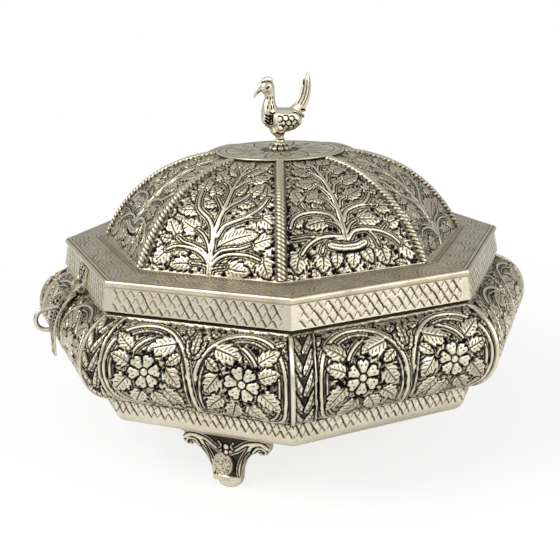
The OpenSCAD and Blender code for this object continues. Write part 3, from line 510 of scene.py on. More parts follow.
def tree_pattern(a, b, seed):
    """One panel of the dome: a tree whose branches bear toothed leaves, over a matted ground"""
    # Two kinds of tree stand by turns
    mound = seed % 2 == 0
    v = b * dome_rise
    angle = dome_from + (dome_to - dome_from) * b
    half = (dome_mid_r + DOME_ARC_R * np.cos(angle)) * cos(HALF_TURN) * tan(HALF_TURN)
    whole = Sheet(a * half, v, seed)
    whole.matting()
    sheet = whole.shifted(whole.u - half / tan(HALF_TURN) * sin(DOME_TURN))
    tree = MOUND_TREE if mound else TREE
    for base, tip, wide in tree["leaves"]:
        base, tip = np.array(base), np.array(tip) + sheet.rng.normal(0, 0.3, 2)
        sheet.leaf(base, tip + (tip - base) * 0.04, wide * 1.12, bend=sheet.rng.normal(0, 0.04))
    if not mound:
        sheet.leaf((-1.6, 11.6), (17, 20.2), 12, teeth=5, bend=0.06, veins=1.7)
    sheet.stems([(points, wide * 0.85, thin * 0.85) for points, wide, thin in tree["stems"]])
    if mound:
        sheet.stems([([(-10.6, 13.2), (-7, 12), (-3, 11.5), (1, 11.6), (4.6, 12.8)], 3.0, 3.0)])
        sheet.groove([(-9, 10), (-4, 9.4), (2, 9.5), (5, 10.4)], 0.6, 0.4)
    sheet.sprigs(6.4, 5)
    sheet.pierce()
    near_rope = half - np.abs(whole.u)
    whole.lay(np.arange(len(v)), ramp(near_rope, 2.9, 2.5), 0.5, 0.6)
    heights = np.linspace(2, 70, 9)
    for side in (-1, 1):
        edge = [(side * np.interp(at, np.sort(v), half[np.argsort(v)]) - side * 3.4, at) for at in heights]
        whole.pits_along(edge, 3.1, 0.6)
    whole.lay(np.arange(len(v)), ramp(v, 0.7, 0.4), 0.4, 0.3)
    return whole


def flange_pattern(a, b, seed):
    """Flat flange: slanted strokes along the dome's foot, fans of nested curved strokes, and a plain rim"""
    wide = flange_high.x - dome_p
    from_edge = b * (flange_high.x - flange_in_p)
    u = a * (flange_high.x - from_edge) * tan(HALF_TURN)
    sheet = Sheet(u, from_edge, seed)
    sheet.dark[:] = 0.24 + 0.14 * (sheet.rng.random(len(u)) - 0.5)
    border = wide - 3.1
    slant = np.abs((u + 0.9 * from_edge) / 1.6 % 1 - 0.5) * 1.6
    dash = ramp(slant, 0.42, 0.15) * ramp(from_edge, border + 0.2, border + 0.5)
    dash = dash * ramp(from_edge, wide - 0.5, wide - 0.9)
    fan = 12.0
    number = np.floor(u / fan + 0.5 * np.sin(from_edge * 0.35))
    flip = hashed(number, 0 * number, seed) > 0.5
    heart_e = np.where(flip, border + 1, 1.0)
    heart_u = (number + 0.15 + 0.3 * hashed(number, 1 + 0 * number, seed)) * fan
    ring = np.hypot(u - heart_u, (from_edge - heart_e) * 0.9)
    stroke = np.abs(ring / 1.7 % 1 - 0.5) * 1.7
    faint = 0.45 + 0.55 * hashed(number, np.floor(ring / 1.7), seed)
    fans = ramp(stroke, 0.45, 0.12) * faint * ramp(from_edge, 1.9, 2.3)
    fans = fans * ramp(from_edge, border - 0.1, border - 0.6)
    for cut, weight in ((dash, 0.75), (fans, 0.62)):
        sheet.depth += 0.3 * cut
        sheet.dark += cut * (weight - 0.2)
    sheet.ruled(from_edge, border, 0.4, 0.3, 0.7)
    sheet.ruled(from_edge, 1.5, 0.4, 0.3, 0.65)
    return sheet


def skirt_pattern(a, b, seed):
    """Sloped skirt: three rows of scales, plain beside the corners"""
    high = skirt_high.z - skirt_low.z
    v = b * high
    u = a * (skirt_high.x + (flange_high.x - skirt_high.x) * b) * tan(HALF_TURN)
    sheet = Sheet(u, v, seed)
    sheet.dark[:] = 0.16 + 0.2 * (sheet.rng.random(len(u)) - 0.5)
    edge = flange_high.x * tan(HALF_TURN) - np.abs(u)
    plain = ramp(edge, 2.2, 3.4)
    kept = sheet.depth.copy(), sheet.dark.copy()
    sheet.scales(0.2, high - 2.2, 4.1, 3)
    sheet.depth = kept[0] + (sheet.depth - kept[0]) * plain
    sheet.dark = kept[1] + (sheet.dark - kept[1]) * plain
    return sheet


def band_pattern(a, b, seed):
    """Base band: two rows of scales above a plain lower part"""
    v = b * band_rise
    u = a * WAIST_P * tan(HALF_TURN)
    sheet = Sheet(u, v, seed)
    sheet.dark[:] = 0.14 + 0.2 * (sheet.rng.random(len(u)) - 0.5)
    sheet.scales(band_rise - 6.6, band_rise - 0.3, 3.3, 2)
    sheet.ruled(v, band_rise - 0.3, 0.5, 0.35)
    return sheet


def bead_pattern(a, b, seed):
    """Half-round moulding: dull at its edges and slightly uneven along its length"""
    sheet = Sheet(a * 40, b * 5, seed)
    sheet.dark[:] = 0.28 + 0.45 * ramp(np.abs(b - 0.5), 0.4, 0.5)
    sheet.depth[:] = 0.08 * np.sin(a * 31 + seed) * np.sin(a * 13)
    return sheet


# Surfaces of the octagon's sides: a runs from -1 to 1 along a side, b from 0 to 1 up it

def bulge_place(a, b, depth):
    angle = bulge_from + (bulge_to - bulge_from) * b
    p = bulge_mid_p + (BULGE_ARC_R - depth) * np.cos(angle)
    return p, a * p * tan(HALF_TURN), bulge_mid_z + (BULGE_ARC_R - depth) * np.sin(angle)


def dome_place(a, b, depth):
    angle = dome_from + (dome_to - dome_from) * b
    p = (dome_mid_r + (DOME_ARC_R - depth) * np.cos(angle)) * cos(HALF_TURN)
    return p, a * p * tan(HALF_TURN), dome_mid_z + (DOME_ARC_R - depth) * np.sin(angle)


def flange_place(a, b, depth):
    p = flange_high.x + (flange_in_p - flange_high.x) * b
    return p, a * p * tan(HALF_TURN), lid_z - depth


def skirt_p(z):
    """How far out the sloped skirt lies at a height"""
    return skirt_high.x + (flange_high.x - skirt_high.x) * (z - skirt_low.z) / (lid_z - skirt_low.z)


def skirt_place(a, b, depth):
    z = skirt_low.z + (skirt_high.z - skirt_low.z) * b
    p = skirt_p(z) - depth
    return p, a * p * tan(HALF_TURN), z


# Profile of the base band: from its foot a quarter turn outwards, then straight up
BAND_STRAIGHT = 4.1
BASE_P = 88.7
band_turn_h = band_high.z - band_low.z - BAND_STRAIGHT
band_turn_w = WAIST_P - BASE_P
band_turn_l = pi / 2 * sqrt((band_turn_h ** 2 + band_turn_w ** 2) / 2)
band_rise = band_turn_l + BAND_STRAIGHT


def band_place(a, b, depth):
    v = b * band_rise
    angle = np.clip(v / band_turn_l, 0, 1) * pi / 2
    p = BASE_P + (band_turn_w - depth) * np.sin(angle)
    z = band_low.z + band_turn_h - (band_turn_h - depth) * np.cos(angle) + np.clip(v - band_turn_l, 0, None)
    return p, a * p * tan(HALF_TURN), z


# Half-round moulding on the lid's edge: how far it stands out, and its height
BEAD_OUT = 1.1
BEAD_H = 3.2
bead_mid_z = lid_z - BEAD_H / 2


def bead_place(a, b, depth):
    angle = (b - 0.5) * pi
    p = skirt_p(bead_mid_z) + (BEAD_OUT - depth) * np.cos(angle)
    return p, a * p * tan(HALF_TURN), bead_mid_z + (BEAD_H / 2 - depth * 0.4) * np.sin(angle)


# Making of pieces

def unit_slab(columns, rows):
    """Closed flat slab: its worked face is a fine grid at z = 0 and its back a coarse one at z = -1"""
    made = bmesh.new()
    bmesh.ops.create_grid(made, x_segments=columns, y_segments=rows, size=1)
    front = set(made.faces)
    bmesh.ops.create_grid(made, x_segments=1, y_segments=rows, size=1, matrix=Matrix.Translation((0, 0, -1)))
    bmesh.ops.reverse_faces(made, faces=[f for f in made.faces if f not in front])
    for side in (-1, 1):
        edges = [e for e in made.edges if e.is_boundary and all(abs(v.co.x - side) < 1e-5 for v in e.verts)]
        bmesh.ops.bridge_loops(made, edges=edges)
    bmesh.ops.holes_fill(made, edges=made.edges, sides=0)
    bmesh.ops.recalc_face_normals(made, faces=made.faces)
    return to_mesh(made, "slab")


def coordinates(mesh):
    flat = np.empty(len(mesh.vertices) * 3, np.float32)
    mesh.vertices.foreach_get("co", flat)
    return flat.reshape(-1, 3).astype(float)


def set_coordinates(mesh, where):
    mesh.vertices.foreach_set("co", where.astype(np.float32).ravel())


def seat(mesh, turn, p, across, z):
    """Set a mesh's points, given in millimetres out, across and up from a side of the box"""
    where = np.stack([p * sin(turn) + across * cos(turn), across * sin(turn) - p * cos(turn), z], 1)
    set_coordinates(mesh, where * MM)


def set_patina(mesh, dark):
    layer = mesh.attributes.new("patina", "FLOAT", "POINT")
    layer.data.foreach_set("value", np.clip(dark, 0, 1).astype(np.float32))


def add_object(name, data):
    made = bpy.data.objects.new(name, data)
    bpy.context.scene.collection.objects.link(made)
    return made


def add_piece(name, mesh, body, material, stands_for):
    """Object of a mesh that is already in place, in metres"""
    mesh.shade_smooth()
    mesh.set_sharp_from_angle(angle=radians(60))
    mesh.materials.clear()
    mesh.materials.append(material)
    made = add_object(name, mesh)
    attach(made, body)
    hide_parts(*stands_for)


def chased_side(name, slab, azimuth, place, pattern, thick, body, node, seed):
    """One side of the octagon, bent out of a flat slab and worked with a pattern"""
    mesh = slab.copy()
    flat = coordinates(mesh)
    a, b = flat[:, 0], (flat[:, 1] + 1) / 2
    front = flat[:, 2] > -0.5
    sheet = pattern(a[front], b[front], seed)
    depth = np.full(len(a), float(thick))
    dark = np.full(len(a), 0.5)
    depth[front] = np.clip(sheet.depth, 0, thick - 0.3)
    dark[front] = sheet.dark
    p, across, z = place(a, b, depth)
    seat(mesh, radians(azimuth), p, across, z)
    set_patina(mesh, dark)
    add_piece(name, mesh, body, oxidised, [node])


def turned(profile, steps, cell):
    """Shape turned round the upright axis from a profile of radius and height"""
    made = bmesh.new()
    points = [made.verts.new((r, 0, z)) for r, z in profile]
    for start, end in zip(points, points[1:]):
        made.edges.new((start, end))
    for edge in list(made.edges):
        cuts = int(edge.calc_length() / cell)
        if cuts:
            bmesh.ops.subdivide_edges(made, edges=[edge], cuts=cuts)
    bmesh.ops.spin(made, geom=made.verts[:] + made.edges[:], cent=(0, 0, 0), axis=(0, 0, 1),
                   steps=steps, angle=2 * pi, use_merge=True)
    bmesh.ops.remove_doubles(made, verts=made.verts, dist=1e-3)
    bmesh.ops.recalc_face_normals(made, faces=made.faces)
    return made


def to_mesh(made, name):
    mesh = bpy.data.meshes.new(name)
    made.to_mesh(mesh)
    made.free()
    return mesh


def ball(made, centre, radii):
    place = Matrix.Translation(centre) @ Matrix.Diagonal((*radii, 1))
    bmesh.ops.create_icosphere(made, subdivisions=2, radius=1, matrix=place)


def melted(mesh, voxel, rounds):
    """Overlapping closed shapes made into one skin of small even faces, and smoothed"""
    rough = add_object("rough", mesh)
    skin = rough.modifiers.new("skin", "REMESH")
    skin.mode, skin.voxel_size = "VOXEL", voxel
    soften = rough.modifiers.new("soften", "SMOOTH")
    soften.factor, soften.iterations = 0.5, rounds
    made = bpy.data.meshes.new_from_object(rough.evaluated_get(bpy.context.evaluated_depsgraph_get()))
    bpy.data.objects.remove(rough)
    return made


def carve(mesh, sheet, facing, scale):
    """Push a skin in by a pattern drawn over one view of it, where it faces that view"""
    normals = np.empty(len(mesh.vertices) * 3, np.float32)
    mesh.vertex_normals.foreach_get("vector", normals)
    normals = normals.reshape(-1, 3)
    front = ramp(facing(normals), 0.25, 0.6)
    where = coordinates(mesh) - normals * (sheet.depth * scale * front)[:, None]
    set_coordinates(mesh, where)
    set_patina(mesh, BARE + (sheet.dark - BARE) * front)


def put(mesh, place=Matrix.Identity(4)):
    """Millimetres to metres, in place"""
    mesh.transform(Matrix.Scale(MM, 4) @ place)
    return mesh


# Materials

def colour(code):
    """Linear red, green, blue and alpha of an sRGB hex value"""
    parts = [int(code[i:i + 2], 16) / 255 for i in (1, 3, 5)]
    return [c / 12.92 if c <= 0.04045 else ((c + 0.055) / 1.055) ** 2.4 for c in parts] + [1]


def add_node(material, kind, inputs=None, stops=(), **settings):
    """One shader node, with its settings, its sockets set to values or linked to other nodes' outputs, and
    the places and colours of its ramp"""
    made = material.node_tree.nodes.new(kind)
    for name, value in settings.items():
        setattr(made, name, value)
    for name, value in (inputs or {}).items():
        if isinstance(value, bpy.types.NodeSocket):
            material.node_tree.links.new(value, made.inputs[name])
        else:
            made.inputs[name].default_value = value
    if stops:
        elements = made.color_ramp.elements
        while len(elements) < len(stops):
            elements.new(0.5)
        for element, (place, code) in zip(elements, stops):
            element.position = place
            element.color = colour(code)
    return made


def new_material(name):
    made = bpy.data.materials.new(name)
    made.use_nodes = True
    return made, made.node_tree.nodes["Principled BSDF"]


def chased_silver():
    """Chased and oxidised silver: rubbed bright and slightly warm on top, brown-black in the recesses"""
    made, shader = new_material("oxidised_chased_silver")
    link = made.node_tree.links.new
    place = add_node(made, "ShaderNodeTexCoord").outputs["Object"]
    patina = add_node(made, "ShaderNodeAttribute", attribute_name="patina").outputs["Fac"]
    # Tarnish in clouds of about 12 mm
    cloud = add_node(made, "ShaderNodeTexNoise", {"Vector": place, "Scale": 80, "Detail": 4, "Roughness": 0.6})
    # Marks of the planishing and wear of about 0.6 mm
    wear = add_node(made, "ShaderNodeTexNoise", {"Vector": place, "Scale": 1500, "Detail": 3, "Roughness": 0.7})
    drift = add_node(made, "ShaderNodeMath", {0: cloud.outputs["Fac"], 1: 0.34, 2: -0.17}, operation="MULTIPLY_ADD")
    speck = add_node(made, "ShaderNodeMath", {0: wear.outputs["Fac"], 1: 0.3, 2: -0.15}, operation="MULTIPLY_ADD")
    total = add_node(made, "ShaderNodeMath", {0: patina, 1: drift.outputs[0]}, operation="ADD")
    total = add_node(made, "ShaderNodeMath", {0: total.outputs[0], 1: speck.outputs[0]},
                     operation="ADD", use_clamp=True)
    dark = total.outputs[0]
    tone = add_node(made, "ShaderNodeValToRGB", {"Fac": dark}, [
        (0.0, "#e6dfca"), (0.22, "#d3cab1"), (0.5, "#857b66"), (0.72, "#3a342a"), (0.9, "#0b0a08"), (1.0, "#060504")])
    link(tone.outputs["Color"], shader.inputs["Base Color"])
    # The patina from which and up to which each socket changes, and its value at both ends
    for socket, begin, end, bright, black in (("Metallic", 0.3, 0.8, 1, 0), ("Roughness", 0.0, 0.8, 0.3, 0.72),
                                              ("Specular IOR Level", 0.5, 0.9, 0.5, 0.1)):
        change = add_node(made, "ShaderNodeMapRange", {"Value": dark, "From Min": begin, "From Max": end,
                                                       "To Min": bright, "To Max": black})
        link(change.outputs[0], shader.inputs[socket])
    bump = add_node(made, "ShaderNodeBump", {"Height": wear.outputs["Fac"], "Strength": 0.35, "Distance": 0.00012})
    link(bump.outputs[0], shader.inputs["Normal"])
    return made


def plain_silver(name, tones, rough_low, rough_high):
    """Plain silver sheet, planished and left satin, with fine scratches and light tarnish"""
    made, shader = new_material(name)
    link = made.node_tree.links.new
    place = add_node(made, "ShaderNodeTexCoord").outputs["Object"]
    cloud = add_node(made, "ShaderNodeTexNoise", {"Vector": place, "Scale": 70, "Detail": 5, "Roughness": 0.65})
    tone = add_node(made, "ShaderNodeValToRGB", {"Fac": cloud.outputs["Fac"]}, list(zip((0.25, 0.6, 0.85), tones)))
    link(tone.outputs["Color"], shader.inputs["Base Color"])
    shader.inputs["Metallic"].default_value = 1
    rough = add_node(made, "ShaderNodeMapRange", {"Value": cloud.outputs["Fac"], "From Min": 0.3,
                                                  "From Max": 0.7, "To Min": rough_low, "To Max": rough_high})
    link(rough.outputs[0], shader.inputs["Roughness"])
    # Facets of the planishing hammer, about 5 mm wide
    facet = add_node(made, "ShaderNodeTexVoronoi", {"Vector": place, "Scale": 200}, feature="SMOOTH_F1")
    scratch = add_node(made, "ShaderNodeTexNoise", {"Vector": place, "Scale": 1400, "Detail": 2})
    height = add_node(made, "ShaderNodeMath", {0: scratch.outputs["Fac"], 1: 0.2}, operation="MULTIPLY")
    height = add_node(made, "ShaderNodeMath", {0: height.outputs[0], 1: facet.outputs["Distance"]}, operation="ADD")
    bump = add_node(made, "ShaderNodeBump", {"Height": height.outputs[0], "Strength": 0.25, "Distance": 0.0002})
    link(bump.outputs[0], shader.inputs["Normal"])
    return made


oxidised = chased_silver()
satin = plain_silver("planished_satin_silver", ["#dcd6c6", "#cfc8b5", "#b3aa94"], 0.26, 0.42)
dulled = plain_silver("dulled_wire_silver", ["#9a927f", "#7f7867", "#5c5547"], 0.4, 0.6)

for node, part in frame["nodes"].items():
    slot = next(s["material_slot"] for s in frame["record"]["subparts"] if s["node"] == node)
    part.data.materials.clear()
    part.data.materials.append({CHASED: satin, PLAIN: satin, DARK: dulled}[slot])


def make_sides():
    """The chased sheets of the body and the lid, one for each side of the octagon"""
    across = 2 * tan(HALF_TURN)

    def slab(p, high):
        return unit_slab(round(p * across / CELL), round(high / CELL))

    # Piece, flat slab, turn in degrees, surface, pattern, thickness in millimetres, body, CAD node, first seed
    kinds = [
        ("body_side", slab(bulge_high.x, bulge_rise), 0,
         bulge_place, side_pattern, 2.2, "root", "body_shell", 10),
        ("base_band", slab(WAIST_P, band_rise), 0,
         band_place, band_pattern, 1.3, "root", "base_band", 20),
        ("dome_panel", slab(dome_p, dome_rise), degrees(DOME_TURN),
         dome_place, tree_pattern, 2.2, "lid", "lid_dome", 30),
        ("lid_flange", slab(flange_high.x, flange_high.x - flange_in_p), 0,
         flange_place, flange_pattern, 1.1, "lid", "lid_flange", 40),
        ("lid_skirt", slab(skirt_high.x, skirt_high.z - skirt_low.z), 0,
         skirt_place, skirt_pattern, 1.2, "lid", "lid_skirt", 50),
        ("edge_moulding", unit_slab(60, 12), 0,
         bead_place, bead_pattern, 1.0, "lid", "edge_moulding", 60),
    ]
    for number, side in enumerate(SIDES):
        for name, flat, turned_by, place, pattern, thick, body, node, seed in kinds:
            chased_side(f"{name}_{side}", flat, 45 * number - turned_by, place, pattern, thick, body, node,
                        seed + number)


make_sides()


# Pieces that stand alone

def outward_of(azimuth):
    """Turn that takes +X to the outside of a side, and +Y along it"""
    return Matrix.Rotation(radians(azimuth - 90), 4, "Z")


def make_ropes():
    """Half-round ropes on the dome's corners: three strands, crisp at the foot and worn smooth at the top"""
    rope_r, rise, lead = 2.0, 1.0, 5.8
    begin, end = dome_from + radians(0.8), radians(85.3)
    length = DOME_ARC_R * (end - begin)
    rows = round(length / CELL)
    made = bmesh.new()
    bmesh.ops.create_cone(made, cap_ends=True, segments=26, radius1=1, radius2=1, depth=1)
    upright = [e for e in made.edges if abs(e.verts[0].co.z - e.verts[1].co.z) > 0.5]
    bmesh.ops.subdivide_edges(made, edges=upright, cuts=rows)
    plain = to_mesh(made, "rope")
    for corner, side in enumerate(SIDES):
        mesh = plain.copy()
        flat = coordinates(mesh)
        share = flat[:, 2] + 0.5
        round_it = np.arctan2(flat[:, 1], flat[:, 0])
        crisp = 0.25 + 0.75 * ramp(share, 0.75, 0.35)
        strand = np.abs((round_it / (2 * pi) * 3 + share * length / lead * 3 + 0.5) % 1 - 0.5) * 2
        furrow = ramp(strand, 0.62, 0.95) * crisp
        radius = (rope_r - 0.03) * np.hypot(flat[:, 0], flat[:, 1]) * (1 - 0.17 * furrow - 0.05 * strand)
        angle = begin + (end - begin) * share
        reach = DOME_ARC_R + rise - rope_r + radius * np.cos(round_it)
        r = dome_mid_r + reach * np.cos(angle)
        across = radius * np.sin(round_it)
        seat(mesh, radians(45 * corner + 22.5) - DOME_TURN, r, across, dome_mid_z + reach * np.sin(angle))
        dots = ramp(np.sin(share * length * 2 * pi / 2.6 + np.sign(round_it)), -0.2, 0.5)
        flank = ramp(np.abs(round_it), 0.75, 1.25)
        set_patina(mesh, 0.16 + 0.7 * furrow + flank * (0.2 + 0.35 * dots))
        add_piece(f"dome_rope_{side}", mesh, "lid", oxidised, ["dome_ropes"])


def make_crown():
    """Flat round plate on the dome, engraved with leaves that spread from the middle"""
    low, high = span("crown_plate")
    radius = high.x
    profile = [(0, low.z), (radius - 0.3, low.z), (radius, low.z + 0.3), (radius, high.z - 0.35),
               (radius - 0.15, high.z - 0.1), (radius - 0.4, high.z), (0, high.z)]
    mesh = to_mesh(turned(profile, 320, 0.42), "crown")
    at = coordinates(mesh)
    sheet = Sheet(at[:, 0], at[:, 1], 71)
    gap = np.hypot(sheet.u, sheet.v)
    border_r = 28.2
    sheet.depth[:] = 0.5
    sheet.dark[:] = 0.2
    for petal in range(16):
        turn = petal * pi / 8 + 0.1
        out = np.array([cos(turn), sin(turn)])
        begin, tip = (8.5, 24.6) if petal % 2 == 0 else (13.5, 23)
        sheet.leaf(out * begin, out * tip, 5.6 if petal % 2 == 0 else 3.6, teeth=0, veins=1.6, bend=0.07)
    for petal in range(10):
        turn = petal * pi / 5
        sheet.blossom((7.4 * cos(turn), 7.4 * sin(turn)), 1.7, 5, turn, 0.5)
    dash = np.abs(np.arctan2(sheet.v, sheet.u) * border_r / 1.5 % 1 - 0.5) * 1.5
    cut = ramp(dash, 0.4, 0.12) * ramp(np.abs(gap - border_r), 1.0, 0.6)
    sheet.depth += 0.6 * cut
    sheet.dark += 0.5 * cut
    for line in (26, 29.4):
        sheet.ruled(gap, line, 0.6, 0.8, 0.85)
    sheet.dark *= 0.75
    carve(mesh, sheet, lambda n: n[:, 2], 0.24)
    add_piece("crown_plate_engraved", put(mesh), "lid", oxidised, ["crown_plate"])


def make_rosette():
    """Petalled boss that the bird's post stands in"""
    low, high = span("finial_rosette")
    r, z, h = high.x, low.z, high.z - low.z
    profile = [(0, z), (r * 0.9, z), (r, z + h * 0.16), (r * 0.97, z + h * 0.3), (r * 0.8, z + h * 0.5),
               (r * 0.66, z + h * 0.66), (r * 0.62, z + h * 0.9), (r * 0.56, z + h), (0, z + h)]
    mesh = to_mesh(turned(profile, 120, 0.3), "rosette")
    at = coordinates(mesh)
    turn = np.arctan2(at[:, 1], at[:, 0])
    gap = np.hypot(at[:, 0], at[:, 1])
    furrow = ramp(np.abs(turn / (2 * pi) * 9 % 1 - 0.5) * 2, 0.55, 0.95) * ramp(gap, r * 0.5, r * 0.75)
    at[:, :2] *= (1 - 0.17 * furrow)[:, None]
    set_coordinates(mesh, at)
    waist = ramp(np.abs(at[:, 2] - z - h * 0.62), 0.7, 0.2)
    set_patina(mesh, 0.12 + 0.75 * furrow + 0.45 * waist)
    add_piece("finial_rosette_petals", put(mesh), "lid", oxidised, ["finial_rosette"])


# Bird, in shares of its height: forward, up and radius of its limbs, and the lines cut on its sides
BIRD_LIMBS = [
    # Breast, back and rump
    ([(0.135, 0.385, 0.158), (0.04, 0.345, 0.18), (-0.06, 0.325, 0.186), (-0.16, 0.33, 0.176),
      (-0.21, 0.335, 0.158)], 1),
    # Neck and head
    ([(0.15, 0.45, 0.135), (0.158, 0.54, 0.105), (0.148, 0.63, 0.083), (0.148, 0.71, 0.08), (0.17, 0.79, 0.1),
      (0.19, 0.82, 0.112)], 1),
    # Beak
    ([(0.255, 0.835, 0.072), (0.325, 0.775, 0.045), (0.368, 0.72, 0.026), (0.39, 0.682, 0.012)], 0.75),
    # Crest
    ([(0.25, 0.918, 0.03), (0.19, 0.938, 0.03), (0.13, 0.925, 0.032), (0.112, 0.9, 0.022)], 0.8),
    # Tail
    ([(-0.24, 0.44, 0.1), (-0.3, 0.485, 0.094), (-0.36, 0.545, 0.094), (-0.412, 0.645, 0.09),
      (-0.444, 0.79, 0.083), (-0.456, 0.89, 0.062), (-0.468, 0.95, 0.036), (-0.472, 0.982, 0.013)], 0.5),
    # Feathers under the tail
    ([(-0.34, 0.465, 0.036), (-0.39, 0.455, 0.034), (-0.42, 0.447, 0.02)], 0.9),
    ([(-0.32, 0.4, 0.036), (-0.372, 0.37, 0.032), (-0.392, 0.35, 0.02)], 0.9),
    # Post
    ([(0, 0.03, 0.067), (0, 0.08, 0.063), (0.004, 0.13, 0.07), (0.015, 0.17, 0.1), (0.03, 0.22, 0.13)], 1),
]
BIRD_CUTS = [
    ([(0.268, 0.888), (0.22, 0.907), (0.165, 0.9), (0.104, 0.876)], 0.5),
    ([(0.35, 0.735), (0.292, 0.778)], 0.35), ([(0.232, 0.803), (0.2, 0.826)], 0.8),
    ([(-0.19, 0.44), (-0.26, 0.42), (-0.31, 0.37)], 0.5),
    ([(0.09, 0.15), (0.03, 0.13), (-0.05, 0.13)], 0.6), ([(-0.345, 0.462), (-0.405, 0.452)], 0.8),
    ([(-0.33, 0.39), (-0.385, 0.358)], 0.5),
    ([(-0.29, 0.565), (-0.345, 0.64), (-0.385, 0.75), (-0.405, 0.87)], 0.3),
    ([(-0.33, 0.535), (-0.39, 0.63), (-0.43, 0.76), (-0.446, 0.89)], 0.3),
    ([(-0.372, 0.515), (-0.432, 0.61), (-0.472, 0.73), (-0.486, 0.85)], 0.3),
    ([(-0.4, 0.9), (-0.388, 0.83)], 0.5), ([(0.205, 0.68), (0.212, 0.645)], 0.35),
    ([(0.165, 0.675), (0.17, 0.64)], 0.35), ([(0.125, 0.68), (0.128, 0.645)], 0.35),
    ([(0.215, 0.55), (0.222, 0.512)], 0.45), ([(0.168, 0.555), (0.172, 0.51)], 0.5),
    ([(0.124, 0.55), (0.128, 0.515)], 0.4), ([(0.19, 0.615), (0.195, 0.59)], 0.3),
    ([(0.14, 0.615), (0.145, 0.59)], 0.3), ([(0.2, 0.46), (0.16, 0.44), (0.12, 0.455)], 0.6),
    ([(0.25, 0.42), (0.2, 0.4), (0.16, 0.415)], 0.8), ([(0.25, 0.38), (0.21, 0.35), (0.17, 0.375)], 0.8),
    ([(0.255, 0.34), (0.22, 0.31), (0.17, 0.33)], 0.7), ([(0.23, 0.3), (0.19, 0.28), (0.15, 0.29)], 0.7),
    ([(0.2, 0.43), (0.2, 0.3)], 0.5), ([(0.16, 0.4), (0.155, 0.3)], 0.5),
]
WING_FEATHERS = [(0.045, 0.352), (-0.048, 0.36), (-0.14, 0.345), (-0.003, 0.283), (-0.098, 0.285), (-0.188, 0.285),
                 (0.03, 0.222), (-0.055, 0.215), (-0.142, 0.208), (-0.225, 0.23)]


def make_bird():
    """Cast bird on its post, facing the hasp, with feathers cut into its sides"""
    low, high = span("finial_bird")
    tall, thick = high.z - low.z, (high.x - low.x) / 2
    made = bmesh.new()
    for points, flat in BIRD_LIMBS:
        for forward, up, radius in smooth_line(points, 6):
            r = radius * tall
            ball(made, (0, -forward * tall, low.z + up * tall), (min(r * flat, thick - 0.15), r, r))
    bmesh.ops.create_cone(made, cap_ends=True, segments=32, radius1=0.075 * tall, radius2=0.07 * tall,
                          depth=0.045 * tall, matrix=Matrix.Translation((0, 0, low.z + 0.0225 * tall)))
    mesh = melted(to_mesh(made, "bird"), 0.24, 5)
    at = coordinates(mesh)
    sheet = Sheet(-at[:, 1], at[:, 2] - low.z, 72)
    for points, wide in BIRD_CUTS:
        sheet.groove(np.array(points) * tall, wide, 0.55)
    for spot in WING_FEATHERS:
        arc = [np.array(spot) + 0.046 * np.array([cos(t), sin(t)]) for t in np.linspace(1.1, 5.1, 7)]
        sheet.groove(np.array(arc) * tall, 0.45, 0.6)
    sheet.ruled(sheet.v, 0.048 * tall, 0.4, 0.3)
    carve(mesh, sheet, lambda n: np.abs(n[:, 0]), 0.6)
    add_piece("finial_bird_cast", put(mesh), "lid", oxidised, ["finial_bird"])


